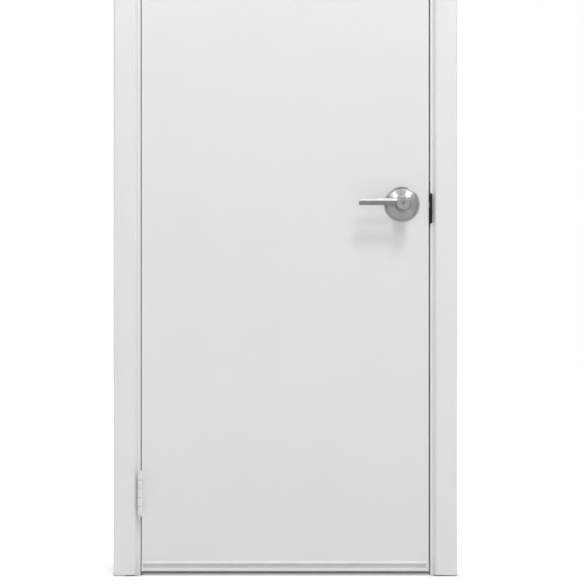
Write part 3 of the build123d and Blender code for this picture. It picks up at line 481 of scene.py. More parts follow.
def drawn(section: Iterable[Point], run: float) -> BMesh:
    """Draw a closed section out along X.

    Args:
        section: Its corners in order.
        run: How far it is drawn out.

    Returns:
        The bar.
    """
    bm = bmesh.new()
    end = bm.faces.new([bm.verts.new(corner) for corner in section])
    grown = bmesh.ops.extrude_face_region(bm, geom=[end])["geom"]
    bmesh.ops.translate(bm, vec=(run, 0, 0), verts=only(BMVert, grown))
    return bm


def block(low: Point, high: Point) -> BMesh:
    """A rectangular block.

    Args:
        low: Lowest corner.
        high: Highest corner.

    Returns:
        The block.
    """
    bm = bmesh.new()
    size = [b - a for a, b in zip(low, high)]
    middle = [(a + b) / 2 for a, b in zip(low, high)]
    bmesh.ops.create_cube(bm, size=1.0, matrix=Matrix.Translation(middle) @ Matrix.Diagonal((*size, 1)))
    return bm


def joined(parts: Iterable[BMesh]) -> BMesh:
    """Put several shells in one piece.

    Args:
        parts: The shells, which are freed.

    Returns:
        The piece.
    """
    whole = bmesh.new()
    for part in parts:
        scratch = bpy.data.meshes.new("scratch")
        part.to_mesh(scratch)
        part.free()
        whole.from_mesh(scratch)
        bpy.data.meshes.remove(scratch)
    return whole


def lay_rings(bm: BMesh, scale: float = 0.1) -> None:
    """Give metal turned about the lock's axis a map whose U runs across its rings.

    Args:
        bm: The piece, in millimetres in the row's frame.
        scale: Share of a millimetre that one unit of U covers.
    """
    layer = bm.loops.layers.uv.new("grain")
    for face in bm.faces:
        middle = face.calc_center_median()
        home = math.atan2(middle.z - DATUM.lock_z, middle.x - DATUM.lock_x)
        for loop in face.loops:
            dx, dz = loop.vert.co.x - DATUM.lock_x, loop.vert.co.z - DATUM.lock_z
            turn = (math.atan2(dz, dx) - home + math.pi) % math.tau - math.pi
            loop[layer].uv = (scale * math.hypot(dx, dz) - scale * loop.vert.co.y, home + turn)


def make_piece(
    name: str,
    bm: BMesh,
    body: Body,
    material: Material,
    replaced: Sequence[str] = (),
    smooth: float = 40.0,
) -> None:
    """Turn a mesh in millimetres into a finished piece of the door.

    Args:
        name: The piece's name.
        bm: Its mesh, in the row's frame. It is freed.
        body: The body that it rides on.
        material: Its finish.
        replaced: CAD nodes that it stands for.
        smooth: Edges sharper than this, in degrees, stay crisp.
    """
    bmesh.ops.scale(bm, vec=(MM, MM, MM), verts=bm.verts)
    bmesh.ops.recalc_face_normals(bm, faces=bm.faces)
    mesh = bpy.data.meshes.new(name)
    bm.to_mesh(mesh)
    bm.free()
    mesh.polygons.foreach_set("use_smooth", [True] * len(mesh.polygons))
    mesh.set_sharp_from_angle(angle=math.radians(smooth))
    mesh.materials.append(material)
    piece = bpy.data.objects.new(name, mesh)
    bpy.context.scene.collection.objects.link(piece)
    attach(piece, body.value)
    if replaced:
        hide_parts(*replaced)
    LOG.info("%s: %d faces on %s", name, len(mesh.polygons), body.value)


# Sub-assemblies


@dataclass
class Casings:
    """Clip-on casings with rounded edges, mitred at the corners, on both faces of the wall."""

    material: Material
    foot: float = 6.0
    reveal: float = 6.35
    slope: float = 8.5
    width: float = 63.5
    projection: float = 16.0
    sheet: float = 1.0
    foot_rounding: float = 2.1
    slope_rounding: float = 2.2
    edge_rounding: float = 5.5
    rounding_steps: int = 6
    floor_gap: float = 3.0

    def length_of_sheet(self, low: float, high: float) -> BMesh:
        """One straight length, before its mitres are cut.

        Args:
            low: Start along the member.
            high: End along the member.

        Returns:
            The bent sheet, in (into the wall from the opening, depth, along).
        """
        outer = self.reveal + self.width
        line = [
            (self.reveal + self.foot, DATUM.frame_front),
            (self.reveal, DATUM.frame_front),
            (self.reveal + self.slope, -self.projection),
            (outer, -self.projection),
            (outer, 0.0),
        ]
        roundings = (self.foot_rounding, self.slope_rounding, self.edge_rounding)
        bm = bmesh.new()
        verts = [bm.verts.new((u, v, low)) for u, v in line]
        edges = [bm.edges.new(pair) for pair in zip(verts, verts[1:])]
        grown = bmesh.ops.extrude_edge_only(bm, edges=edges)["geom"]
        bmesh.ops.translate(bm, vec=(0, 0, high - low), verts=only(BMVert, grown))
        for (u, v), width in zip(line[1:4], roundings):
            bend = [e for e in bm.edges if all(math.hypot(p.co.x - u, p.co.y - v) < NEAR for p in e.verts)]
            round_edges(bm, bend, width, self.rounding_steps, clamp=False)
        flat = min(bm.faces, key=lambda f: f.calc_center_median().y)
        flat.normal_update()
        if flat.normal.y > 0:
            bmesh.ops.reverse_faces(bm, faces=bm.faces)
        bmesh.ops.solidify(bm, geom=bm.faces[:], thickness=self.sheet)
        return bm

    @staticmethod
    def mitre(bm: BMesh, at: float, way: int) -> None:
        """Cut one end at 45 degrees and close it.

        Args:
            bm: The length of sheet.
            at: Where the cut meets the opening's face.
            way: 1 for the high end, -1 for the low end.
        """
        cut = bmesh.ops.bisect_plane(
            bm, geom=bm.verts[:] + bm.edges[:] + bm.faces[:], dist=MERGE,
            plane_co=(0, 0, at), plane_no=(-1, 0, way), clear_outer=True, clear_inner=False,
        )["geom_cut"]
        bmesh.ops.contextual_create(bm, geom=only(BMEdge, cut))

    def build(self) -> None:
        """Build the six casings and put them around the opening."""
        outer = self.reveal + self.width
        middle = (DATUM.hinge_face + DATUM.strike_face) / 2
        half = (DATUM.strike_face - DATUM.hinge_face) / 2
        places = {
            Run.HINGE_SIDE: Matrix(((-1, 0, 0, DATUM.hinge_face), (0, 1, 0, 0), (0, 0, 1, 0), (0, 0, 0, 1))),
            Run.STRIKE_SIDE: Matrix(((1, 0, 0, DATUM.strike_face), (0, 1, 0, 0), (0, 0, 1, 0), (0, 0, 0, 1))),
            Run.HEAD: Matrix(((0, 0, 1, middle), (0, 1, 0, 0), (1, 0, 0, DATUM.soffit), (0, 0, 0, 1))),
        }
        to_rear = Matrix(((1, 0, 0, 0), (0, -1, 0, DATUM.wall), (0, 0, 1, 0), (0, 0, 0, 1)))
        for run, place in places.items():
            for face in Face:
                if run is Run.HEAD:
                    bm = self.length_of_sheet(-half - outer, half + outer)
                    self.mitre(bm, half, 1)
                    self.mitre(bm, -half, -1)
                else:
                    bm = self.length_of_sheet(self.floor_gap, DATUM.soffit + outer)
                    self.mitre(bm, DATUM.soffit, 1)
                turn = place if face is Face.FRONT else to_rear @ place
                bmesh.ops.transform(bm, matrix=turn, verts=bm.verts)
                node = f"{face.name.lower()}_casing_{run.value}"
                make_piece(f"{node}_sheet", bm, Body.FRAME, self.material, [node])


@dataclass(frozen=True)
class Seat:
    """Centre of a screw's head and the way that it faces."""

    centre: Point
    way: Point


@dataclass
class Screws:
    """Countersunk cross-recess screws, true to scale."""

    material: Material
    head: float = 4.95
    head_rim: float = 0.25
    shank: float = 2.7
    cone: float = 2.4
    length: float = 12.0
    point: float = 0.5
    point_length: float = 2.0
    recess_arm: float = 2.6
    recess_width: float = 0.95
    recess_depth: float = 1.7
    recess_taper: float = 0.55
    first_twist: float = 17.0
    twist_step: float = 41.0
    steps: int = 24

    def screw(self) -> BMesh:
        """One screw about Z, its head's face at zero, its point below.

        Returns:
            The screw.
        """
        bm = turned(
            [
                (self.head, 0.0), (self.head, -self.head_rim), (self.shank, -self.cone),
                (self.shank, self.point_length - self.length), (self.point, -self.length),
                (0.0, -self.length),
            ],
            self.steps,
        )
        rim = [e for e in bm.edges if e.is_boundary]
        arm, half = self.recess_arm, self.recess_width / 2
        quarter = [(half, half), (half, arm), (-half, arm)]
        outline = []
        for k in range(4):
            turn = Matrix.Rotation(k * math.pi / 2, 2)
            outline += [turn @ Vector(p) for p in quarter]
        cross = [bm.verts.new((p.x, p.y, 0.0)) for p in outline]
        loop = [bm.edges.new((a, b)) for a, b in zip(cross, cross[1:] + cross[:1])]
        bmesh.ops.triangle_fill(bm, use_beauty=True, edges=rim + loop)
        floor = only(BMVert, bmesh.ops.extrude_edge_only(bm, edges=loop)["geom"])
        bmesh.ops.translate(bm, vec=(0, 0, -self.recess_depth), verts=floor)
        bmesh.ops.scale(bm, vec=(self.recess_taper, self.recess_taper, 1), verts=floor)
        bmesh.ops.contextual_create(bm, geom=[e for e in bm.edges if e.is_boundary])
        return bm

    def build(self, name: str, seats: Sequence[Seat], body: Body, slot: str, size: float = 1.0) -> None:
        """Drive a set of screws into their seats as one piece.

        Args:
            name: The piece's name.
            seats: Where the heads lie.
            body: The body that they are screwed to.
            slot: Not used.
            size: Scale of these screws.
        """
        parts = []
        for number, seat in enumerate(seats):
            bm = self.screw()
            turn = Vector((0, 0, 1)).rotation_difference(Vector(seat.way)).to_matrix().to_4x4()
            twist = Matrix.Rotation(math.radians(self.first_twist + number * self.twist_step), 4, "Z")
            place = Matrix.Translation(seat.centre) @ turn @ twist @ Matrix.Scale(size, 4)
            bmesh.ops.transform(bm, matrix=place, verts=bm.verts)
            parts.append(bm)
        make_piece(name, joined(parts), body, self.material)


@dataclass
class Hinges:
    """Two five-knuckle butt hinges: leaves, rounded knuckles, pins and their screws."""

    material: Material
    screws: Screws
    height: float = 114.3
    gauge: float = 3.4
    plate_rear: float = 35.7
    plate_rounding: float = 0.35
    edge_gap: float = 2.2
    knuckles: int = 5
    knuckle_radius: float = 7.0
    knuckle_gap: float = 0.3
    knuckle_rounding: float = 1.1
    knuckle_steps: int = 56
    rim_angle: float = 1.0
    groove: float = 1.0
    bore: float = 3.65
    relief: float = 7.6
    strap_gap: float = 0.6
    strap_grip: float = 1.0
    pin_radius: float = 3.6
    pin_rounding: float = 0.5
    pin_steps: int = 48
    cap_radius: float = 5.6
    cap_height: float = 2.2
    plug_height: float = 4.5
    screw_count: int = 4
    screw_from_end: float = 14.0
    screw_from_face: float = 11.5
    screw_stagger: float = 15.0
    screw_sink: float = 0.02

    def knuckle(self, low: float, high: float) -> BMesh:
        """One knuckle with rounded rims.

        Args:
            low: Lower end.
            high: Upper end.

        Returns:
            The knuckle, on the hinge's pivot.
        """
        bore, outer = self.bore, self.knuckle_radius
        bm = turned([(bore, low), (outer, low), (outer, high), (bore, high), (bore, low)], self.knuckle_steps)
        rims = [
            e for e in bm.edges
            if e.calc_face_angle(0.0) > self.rim_angle
            and all(math.hypot(v.co.x, v.co.y) > (bore + outer) / 2 for v in e.verts)
        ]
        round_edges(bm, rims, self.knuckle_rounding, 4)
        bmesh.ops.translate(bm, vec=(DATUM.pivot_x, DATUM.pivot_y, 0), verts=bm.verts)
        return bm

    def leaf(self, centre: float, way: int, first: int) -> BMesh:
        """One leaf: a plate, its straps and every other knuckle.

        Args:
            centre: Height of the hinge's middle.
            way: -1 for the leaf on the jamb, 1 for the one on the door.
            first: Number of its lowest knuckle.

        Returns:
            The leaf.
        """
        near = DATUM.pivot_x + way * self.edge_gap / 2
        far = near + way * self.gauge
        low_x, high_x = sorted((near, far))
        half = (self.height - self.knuckle_gap) / 2
        plate_front = DATUM.pivot_y + math.sqrt(self.relief**2 - (self.edge_gap / 2) ** 2)
        plate = block((low_x, plate_front, centre - half), (high_x, self.plate_rear, centre + half))
        soften(plate, self.plate_rounding)
        parts = [plate]
        pitch = self.height / self.knuckles
        strap_front = DATUM.pivot_y + self.bore + self.strap_gap
        for index in range(first, self.knuckles, 2):
            low = centre - self.height / 2 + index * pitch + self.groove / 2
            high = low + pitch - self.groove
            strap = block((low_x, strap_front, low), (high_x, plate_front + self.strap_grip, high))
            soften(strap, self.plate_rounding)
            parts += [self.knuckle(low, high), strap]
        return joined(parts)

    def pin(self, centre: float) -> BMesh:
        """The pin with its button tip above and its plug below.

        Args:
            centre: Height of the hinge's middle.

        Returns:
            The pin.
        """
        half = self.height / 2
        outline = [
            (0, -half - self.plug_height), (self.pin_radius, -half - self.plug_height),
            (self.cap_radius, -half), (self.pin_radius, -half), (self.pin_radius, half),
            (self.cap_radius, half), (self.cap_radius, half + self.cap_height / 2),
            (self.pin_radius, half + self.cap_height), (0, half + self.cap_height),
        ]
        bm = turned(outline, self.pin_steps)
        soften(bm, self.pin_rounding, 3)
        bmesh.ops.translate(bm, vec=(DATUM.pivot_x, DATUM.pivot_y, centre), verts=bm.verts)
        return bm

    def seats(self, centre: float, way: int) -> list[Seat]:
        """Where one leaf's screws go.

        Args:
            centre: Height of the hinge's middle.
            way: -1 for the leaf on the jamb, 1 for the one on the door.

        Returns:
            The seats, from the bottom up.
        """
        x = DATUM.pivot_x + way * (self.edge_gap / 2 + self.screw_sink)
        bottom = centre - self.height / 2 + self.screw_from_end
        step = (self.height - 2 * self.screw_from_end) / (self.screw_count - 1)
        seats = []
        for number in range(self.screw_count):
            y = DATUM.leaf_front + self.screw_from_face + self.screw_stagger * (number % 2)
            seats.append(Seat((x, y, bottom + number * step), (-way, 0, 0)))
        return seats

    def build(self) -> None:
        """Build both hinges and their screws."""
        for place, centre in zip(("bottom", "top"), DATUM.hinge_heights):
            for side, way, first, body in (("frame", -1, 0, Body.FRAME), ("door", 1, 1, Body.LEAF)):
                node = f"{place}_hinge_{side}_leaf"
                plate = self.leaf(centre, way, first)
                make_piece(f"{node}_plate", plate, body, self.material, [node])
                self.screws.build(f"{node}_screws", self.seats(centre, way), body, "hinge_paint")
            node = f"{place}_hinge_pin"
            make_piece(f"{node}_turned", self.pin(centre), Body.FRAME, self.material, [node])


@dataclass
class LockTrim:
    """Rose and lever on one face of the leaf."""

    face: Face
    rose_material: Material
    hub_material: Material
    arm_material: Material
    rose_radius: float = 46.5
    rim: float = 2.6
    rim_width: float = 6.0
    groove: float = 0.8
    height: float = 12.0
    collar: float = 22.5
    collar_height: float = 2.5
    wall: float = 1.4
    bore: float = 15.0
    rose_rounding: float = 0.3
    rose_steps: int = 120
    shank: float = 10.0
    shank_depth: float = 16.0
    hub_gap: float = 0.6
    hub_radius: float = 18.0
    waist: float = 16.5
    waist_height: float = 9.0
    hub_front: float = 62.0
    hub_bevel: float = 2.0
    hub_rounding: float = 0.5
    hub_steps: int = 96
    soft_angle: float = 25.0
    arm_reach: float = 115.0
    arm_height: float = 18.6
    arm_rise: float = 4.0
    arm_thickness: float = 13.0
    arm_setback: float = 3.0
    arm_rounding: float = 1.7
    arm_crisp_angle: float = 60.0
    tip_rounding: float = 2.6
    plug_bore: float = 6.45
    plug_bore_depth: float = 28.5

    # Corners of the arm's section, as shares of half its height and half its thickness
    arm_section: tuple[Pair, ...] = (
        (1.0, -0.2), (0.0, 1.0), (-0.9, 0.8), (-1.0, 0.4),
        (-1.0, -0.7), (-0.7, -1.0), (0.7, -1.0), (1.0, -0.7),
    )

    def onto_leaf(self, bm: BMesh) -> None:
        """Move a piece made about Z, with its outside up, onto this face at the lock's axis.

        Args:
            bm: The piece.
        """
        y = DATUM.leaf_front if self.face is Face.FRONT else DATUM.leaf_rear
        way = self.face.value
        turn = Matrix(((-way, 0, 0, DATUM.lock_x), (0, 0, way, y), (0, 1, 0, DATUM.lock_z), (0, 0, 0, 1)))
        bmesh.ops.transform(bm, matrix=turn, verts=bm.verts)

    def turned_trim(self, outline: list[Pair], steps: int, rounding: float) -> BMesh:
        """Turn a piece of the trim, soften it and put it in place.

        Args:
            outline: Radius and height above the leaf's face, along the outline.
            steps: Faces round the axis.
            rounding: Width of the rounding along its edges.

        Returns:
            The piece on the leaf, with its grain.
        """
        bm = turned(outline, steps)
        soften(bm, rounding, 3, self.soft_angle)
        self.onto_leaf(bm)
        lay_rings(bm)
        return bm

    def rose(self) -> BMesh:
        """The pressed conical rose.

        Returns:
            The rose.
        """
        cone = self.rose_radius - self.rim_width
        base = self.height - self.collar_height
        g = self.groove
        outline = [
            (self.rose_radius, 0), (self.rose_radius, self.rim - g), (self.rose_radius - g, self.rim),
            (cone + g, self.rim + g / 2), (cone, self.rim - g / 2), (cone - g, self.rim + g / 2),
            (self.collar + self.collar_height / 2, base), (self.collar, self.height - g),
            (self.collar - g, self.height), (self.bore, self.height), (self.bore, self.height - self.wall),
            (self.collar - self.wall, self.height - self.wall), (self.collar - self.wall, base - self.wall),
            (cone, self.rim - self.wall), (self.rose_radius - self.wall, self.rim - self.wall),
            (self.rose_radius - self.wall, 0),
        ]
        return self.turned_trim(outline + outline[:1], self.rose_steps, self.rose_rounding)

    def hub(self) -> BMesh:
        """The lever's shank and round hub, bored for the key plug on the outer face.

        Returns:
            The hub.
        """
        back = self.height + self.hub_gap
        arm_low = self.hub_front - self.arm_setback - self.arm_thickness / 2 - self.arm_height / 2
        outline = [
            (0, -self.shank_depth), (self.shank, -self.shank_depth), (self.shank, back), (self.waist, back),
            (self.waist, back + self.waist_height), (self.hub_radius, arm_low),
            (self.hub_radius, self.hub_front - self.hub_bevel),
            (self.hub_radius - self.hub_bevel, self.hub_front),
        ]
        if self.face is Face.FRONT:
            floor = self.hub_front - self.plug_bore_depth
            outline += [(self.plug_bore, self.hub_front), (self.plug_bore, floor), (0, floor)]
        else:
            outline += [(0, self.hub_front)]
        return self.turned_trim(outline, self.hub_steps, self.hub_rounding)

    def arm(self) -> BMesh:
        """The lever's straight arm: its upper face slopes to the front, its edges and tip are rounded.

        Returns:
            The arm, which points to the hinges.
        """
        mid = self.hub_front - self.arm_setback - self.arm_thickness / 2
        out, up = self.arm_thickness / 2, self.arm_height / 2
        section = [(-self.arm_reach, self.arm_rise + u * up, mid + v * out) for u, v in self.arm_section]
        bm = drawn(section, self.arm_reach - self.hub_radius / 2)
        round_edges(bm, [e for e in bm.edges if runs_along(e, 0)], self.arm_rounding, 5)
        tip = [e for e in bm.edges if all(v.co.x < NEAR - self.arm_reach for v in e.verts)]
        round_edges(bm, tip, self.tip_rounding, 5)
        if self.face is Face.REAR:
            bmesh.ops.scale(bm, vec=(-1, 1, 1), verts=bm.verts)
        self.onto_leaf(bm)
        return bm

    def build(self) -> None:
        """Build the rose and the lever."""
        side = self.face.name.lower()
        lever = Body.FRONT_LEVER if self.face is Face.FRONT else Body.REAR_LEVER
        rose_name, lever_name = f"{side}_rose", f"{side}_lever"
        slot, crisp = "satin_nickel", self.arm_crisp_angle
        make_piece(f"{rose_name}_turned", self.rose(), Body.LEAF, self.rose_material, [rose_name])
        make_piece(f"{lever_name}_hub", self.hub(), lever, self.hub_material, [lever_name])
        make_piece(f"{lever_name}_arm", self.arm(), lever, self.arm_material, [lever_name], crisp)


@dataclass
class EdgeHardware:
    """Small pieces of the lock: wards in the keyway, painted near black as keyway shade, and screws in the
    strike and the latch front.
    """

    materials: dict[str, Material]
    depth: float = 19.825
    sink: float = 0.02
    strike_screw_rise: float = 54.0
    latch_screw_rise: float = 21.075
    latch_edge: float = 792.411
    edge_slope: float = 1 / 16
    latch_screw_size: float = 0.72
    ward_width: float = 1.9
    ward_length: float = 9.2
    ward_depth: float = 4.0
    ward_recess: float = 0.8
    ward_rounding: float = 0.25
    plug_front: float = 62.0
    keyway_turn: float = 45.0

    def wards(self) -> BMesh:
        """The wards that close the keyway behind its mouth, near black as painted shade of the keyway's
        depth.

        Returns:
            The wards.
        """
        half_width, half_length = self.ward_width / 2, self.ward_length / 2
        mouth = self.ward_recess - self.plug_front
        bm = block((-half_width, mouth, -half_length), (half_width, mouth + self.ward_depth, half_length))
        soften(bm, self.ward_rounding)
        turn = Matrix.Rotation(math.radians(self.keyway_turn), 3, "Y")
        bmesh.ops.rotate(bm, cent=(0, 0, 0), matrix=turn, verts=bm.verts)
        bmesh.ops.translate(bm, vec=(DATUM.lock_x, DATUM.leaf_front, DATUM.lock_z), verts=bm.verts)
        return bm

    def build(self) -> None:
        """Build the wards and drive the screws."""
        # The wards carry the near-black painted keyway shade.
        make_piece("keyway_wards_painted_shade", self.wards(), Body.KEY_PLUG, self.materials["ward_painted_shade"])
        strike, latch = [], []
        for way in (-1, 1):
            high = DATUM.lock_z + way * self.strike_screw_rise
            strike.append(Seat((DATUM.strike_face + self.sink, self.depth, high), (-1, 0, 0)))
            high = DATUM.lock_z + way * self.latch_screw_rise
            latch.append(Seat((self.latch_edge - self.sink, self.depth, high), (1, self.edge_slope, 0)))
        Screws(self.materials["strike"]).build("strike_plate_screws", strike, Body.FRAME, "strike_black")
        Screws(self.materials["latch"]).build(
            "latch_front_screws", latch, Body.LEAF, "satin_nickel", self.latch_screw_size
        )


@dataclass
class BottomSweep:
    """Sweep across the foot of the leaf: the retainer and its vinyl band."""

    retainer_material: Material
    band_material: Material
    start: float = 37.7
    end: float = 793.3
    hinge_cap: float = 5.0
    lock_cap: float = 7.5
    bottom: float = 11.6
    height: float = 25.8
    projection: float = 6.5
    back: float = 1.5
    top_rail: float = 6.6
    bottom_rail: float = 7.3
    top_rounding: float = 4.0
    rail_rounding: float = 1.4
    blade: float = 2.4
    blade_grip: float = 4.6
    band_thickness: float = 1.6
    rib_depth: float = 0.25
    ribs: int = 12

    def retainer(self) -> BMesh:
        """The extruded retainer with its rounded rails and the slot that grips the blade.

        Returns:
            The retainer.
        """
        back = DATUM.leaf_front
        floor, front = back - self.back, back - self.projection
        top = self.bottom + self.height
        slot_front = floor - self.blade
        outline = [
            (back, self.bottom), (back, top), (front, top), (front, top - self.top_rail),
            (floor, top - self.top_rail), (floor, self.bottom + self.bottom_rail),
            (front, self.bottom + self.bottom_rail), (front, self.bottom), (slot_front, self.bottom),
            (slot_front, self.bottom + self.blade_grip), (floor, self.bottom + self.blade_grip),
            (floor, self.bottom),
        ]
        first = self.start + self.hinge_cap
        bm = drawn([(first, y, z) for y, z in outline], self.end - self.lock_cap - first)
        for is_top, rounding in ((True, self.top_rounding), (False, self.rail_rounding)):
            rails = [
                e for e in bm.edges
                if runs_along(e, 0)
                and e.verts[0].co.y < front + NEAR
                and (e.verts[0].co.z > top - NEAR) == is_top
            ]
            round_edges(bm, rails, rounding, 6)
        return bm

    def band(self) -> BMesh:
        """The vinyl band in the retainer's recess, with faint ribs along it.

        Returns:
            The band.
        """
        floor = DATUM.leaf_front - self.back
        front = floor - self.band_thickness
        low, high = self.bottom + self.bottom_rail, self.bottom + self.height - self.top_rail
        bm = block((self.start + self.hinge_cap, front, low), (self.end - self.lock_cap, floor, high))
        upright = [e for e in bm.edges if runs_along(e, 2)]
        cut = bmesh.ops.subdivide_edges(bm, edges=upright, cuts=self.ribs - 1, use_grid_fill=True)
        step = (high - low) / self.ribs
        for v in set(only(BMVert, cut["geom_inner"])):
            if v.co.y < (front + floor) / 2 and round((v.co.z - low) / step) % 2:
                v.co.y += self.rib_depth
        return bm

    def build(self) -> None:
        """Build the retainer and the band."""
        retainer, band = self.retainer(), self.band()
        coat, vinyl = self.retainer_material, self.band_material
        make_piece("sweep_retainer_bar", retainer, Body.LEAF, coat, ["sweep_retainer"])
        make_piece("sweep_vinyl_band", band, Body.LEAF, vinyl, ["sweep_insert"])


@dataclass
class Dressing:
    """Finishes for the CAD nodes that stay."""

    materials: dict[str, Material]
    nodes: dict[str, tuple[str, ...]] = field(
        default_factory=lambda: {
            "frame": ("hinge_jamb", "strike_jamb", "head_jamb", "front_wall_flanges", "rear_wall_flanges"),
            "zinc": (
                "corner_brackets", "casing_clips_front", "casing_clips_rear", "hinge_backing_frame",
                "hinge_backing_door", "strike_box", "lock_chassis",
            ),
            "leaf": ("leaf_front_skin", "leaf_rear_skin", "leaf_top_channel", "leaf_bottom_channel"),
            "core": ("leaf_core",),
            "strike": ("strike_plate",),
            "silencer": ("silencers",),
            "plug": ("key_plug",),
            "latch": ("latch_front", "latch_bolt"),
            "blade": ("sweep_blade",),
            "cap": ("sweep_end_caps",),
        }
    )

    def build(self) -> None:
        """Give each kept node its finish."""
        for finish, names in self.nodes.items():
            for name in names:
                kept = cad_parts[name]
                kept.data.materials.clear()
                kept.data.materials.append(self.materials[finish])
                LOG.info("%s: %s", name, finish)


# Studio


class Role(Enum):
    """What a lamp is for."""

    SHADE = "lights the enamel and draws the soft shadows"
    GLINT = "shows in the satin metal"


@dataclass(frozen=True)
class Lamp:
    """A soft lamp that looks at the lock."""

    name: str
    role: Role
    direction: Point
    size: Pair
    watts: float
    distance: float = 3.0

    def build(self, target: Vector) -> None:
        """Hang the lamp.

        Args:
            target: What it looks at, in metres.
        """
        data = bpy.data.lights.new(self.name, "AREA")
        data.shape = "RECTANGLE"
        data.size, data.size_y = self.size
        data.energy = self.watts
        lamp = bpy.data.objects.new(self.name, data)
        bpy.context.scene.collection.objects.link(lamp)
        way = Vector(self.direction).normalized()
        lamp.location = target + way * self.distance
        lamp.rotation_euler = way.to_track_quat("Z", "Y").to_euler()
        lamp.visible_glossy = self.role is Role.GLINT
        lamp.visible_diffuse = self.role is Role.SHADE


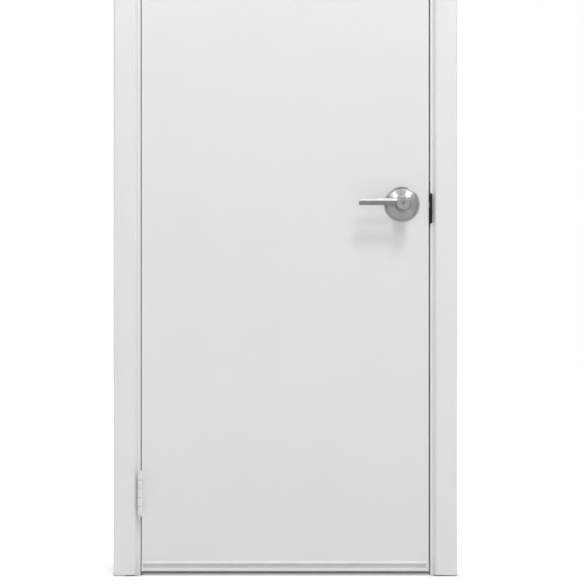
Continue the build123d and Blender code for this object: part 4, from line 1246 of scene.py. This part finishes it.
@dataclass
class Studio:
    """White sweep of floor and world, soft lamps, and the camera at the photograph's angle."""

    ambient: float = 0.60
    camera_height: float = 0.7454
    camera_x: float = 0.4334
    camera_distance: float = 4.0
    frame_width: float = 1.5371
    sensor: float = 36.0
    card_direction: Point = (0.0, -0.76, 0.65)
    card_radius: float = 0.20
    card_fade: float = 1.6
    card_tone: float = 0.40
    floor_half: float = 9.0
    floor_drop: float = 0.0002
    floor_tone: float = 0.80
    door_middle: Point = (416.0, 60.0, 0.0)
    near_lift: float = 0.34
    far_lift: float = 0.80
    lift_reach: Pair = (0.5, 2.2)
    mirrored_lift: float = 0.3
    feet_middle: Point = (416.0, 61.9, 0.0)
    foot_from_middle: Point = (0.416, 0.0, 0.0)
    foot_half: Point = (0.035, 0.078, 0.0)
    foot_fade: float = 0.008
    lamps: tuple[Lamp, ...] = (
        Lamp("key_lamp", Role.SHADE, (0.095, -0.49, 0.862), (0.9, 0.9), 76.0, 4.5),
        Lamp("rear_lamp", Role.SHADE, (-0.35, 0.72, 0.60), (1.5, 1.5), 70.0, 4.5),
        Lamp("second_lamp", Role.SHADE, (0.067, -0.727, 0.683), (0.75, 0.75), 28.0, 4.5),
        Lamp("left_glint_lamp", Role.GLINT, (-0.38, -0.708, 0.596), (0.5, 1.2), 27.0),
        Lamp("right_glint_lamp", Role.GLINT, (0.44, -0.645, 0.625), (0.7, 1.2), 34.0),
        Lamp("top_glint_lamp", Role.GLINT, (0.0, -0.10, 0.995), (2.4, 0.6), 22.0),
    )

    def world(self) -> None:
        """Light the door evenly, white to the camera and glass, with a grey card that the metal mirrors."""
        board = NodeBoard(bpy.data.worlds.new("studio_white"))
        bpy.context.scene.world = board.owner
        path = board.add("LightPath").outputs
        seen = board.maths("MAXIMUM", path["Is Camera Ray"], path["Is Transmission Ray"])
        towards = {0: board.add("TexCoord").outputs["Generated"], 1: Vector(self.card_direction).normalized()}
        facing = board.add("VectorMath", towards, operation="DOT_PRODUCT").outputs["Value"]
        rim, edge = math.cos(self.card_radius * self.card_fade), math.cos(self.card_radius)
        fade = {0: facing, 1: rim, 2: edge, 3: 1.0, 4: self.card_tone}
        card = board.add("MapRange", fade, interpolation_type="SMOOTHSTEP").outputs[0]
        mirrored = board.maths("MULTIPLY", path["Is Glossy Ray"], card)
        backdrop = board.maths("MAXIMUM", seen, mirrored)
        unseen = board.maths("SUBTRACT", 1.0, board.maths("MAXIMUM", seen, path["Is Glossy Ray"]))
        ambient = board.maths("MULTIPLY", unseen, self.ambient)
        strength = board.maths("ADD", backdrop, ambient)
        white = board.add("Background", {0: (1, 1, 1, 1), 1: strength})
        board.add("OutputWorld", {0: white.outputs[0]})

    def floor_white(self) -> Material:
        """Build the floor's white: matt, and lifted for the camera except under the casings' feet.

        Returns:
            The material.
        """
        board = NodeBoard(bpy.data.materials.new("studio_floor_white"))
        tone = self.floor_tone
        matt = board.add("BsdfDiffuse", {"Color": (tone, tone, tone, 1)}).outputs[0]
        away = board.length(board.object_coords(self.door_middle))
        lift = board.spread(away, self.near_lift, self.far_lift, *self.lift_reach)
        folded = board.vector("ABSOLUTE", board.object_coords(self.feet_middle))
        from_foot = board.vector("ABSOLUTE", board.vector("SUBTRACT", folded, self.foot_from_middle))
        outside = board.vector("SUBTRACT", from_foot, self.foot_half)
        sides = board.add("SeparateXYZ", {0: outside}).outputs
        open_floor = board.spread(board.maths("MAXIMUM", sides[0], sides[1]), 0.0, 1.0, 0.0, self.foot_fade)
        strength = board.maths("MULTIPLY", lift, open_floor)
        glow = board.add("Emission", {"Color": (1, 1, 1, 1), "Strength": strength}).outputs[0]
        lifted = board.add("AddShader", {0: matt, 1: glow}).outputs[0]
        path = board.add("LightPath").outputs
        indirect = board.maths("MAXIMUM", path["Is Glossy Ray"], path["Is Transmission Ray"])
        share = board.maths("MULTIPLY", indirect, self.mirrored_lift)
        seen = board.maths("MAXIMUM", path["Is Camera Ray"], share)
        mix = board.add("MixShader", {0: seen, 1: matt, 2: lifted})
        board.add("OutputMaterial", {0: mix.outputs[0]})
        return board.owner

    def floor(self) -> None:
        """Lay a pale floor that keeps the door's shadow."""
        bm = bmesh.new()
        bmesh.ops.create_grid(bm, x_segments=1, y_segments=1, size=self.floor_half)
        bmesh.ops.translate(bm, vec=(MM * self.door_middle[0], 0, -self.floor_drop), verts=bm.verts)
        mesh = bpy.data.meshes.new("studio_floor")
        bm.to_mesh(mesh)
        bm.free()
        mesh.materials.append(self.floor_white())
        floor = bpy.data.objects.new("studio_floor", mesh)
        bpy.context.scene.collection.objects.link(floor)

    def camera(self) -> None:
        """Stand the camera square to the leaf, level, as in the photograph."""
        data = bpy.data.cameras.new("camera")
        data.sensor_width = self.sensor
        data.lens = self.sensor * self.camera_distance / self.frame_width
        camera = bpy.data.objects.new("camera", data)
        bpy.context.scene.collection.objects.link(camera)
        camera.location = (self.camera_x, MM * DATUM.leaf_front - self.camera_distance, self.camera_height)
        camera.rotation_euler = (math.pi / 2, 0, 0)
        bpy.context.scene.camera = camera

    def build(self) -> None:
        """Set up the studio."""
        bpy.context.scene.view_settings.view_transform = "Standard"
        self.world()
        self.floor()
        target = Vector((DATUM.lock_x * MM, 0, DATUM.lock_z * MM))
        for lamp in self.lamps:
            lamp.build(target)
        self.camera()


def main() -> None:
    """Build the door's pieces in order and set up the studio."""
    logging.basicConfig(level=logging.INFO, format="%(name)s: %(message)s")
    materials = {name: finish.material() for name, finish in FINISHES.items()}
    screws = Screws(materials["screw"])
    Dressing(materials).build()
    Casings(materials["frame"]).build()
    Hinges(materials["hinge"], screws).build()
    for face in Face:
        LockTrim(face, materials["rose"], materials["hub"], materials["lever"]).build()
    EdgeHardware(materials).build()
    BottomSweep(materials["sweep"], materials["band"]).build()
    Studio().build()


if __name__ == "__main__":
    main()
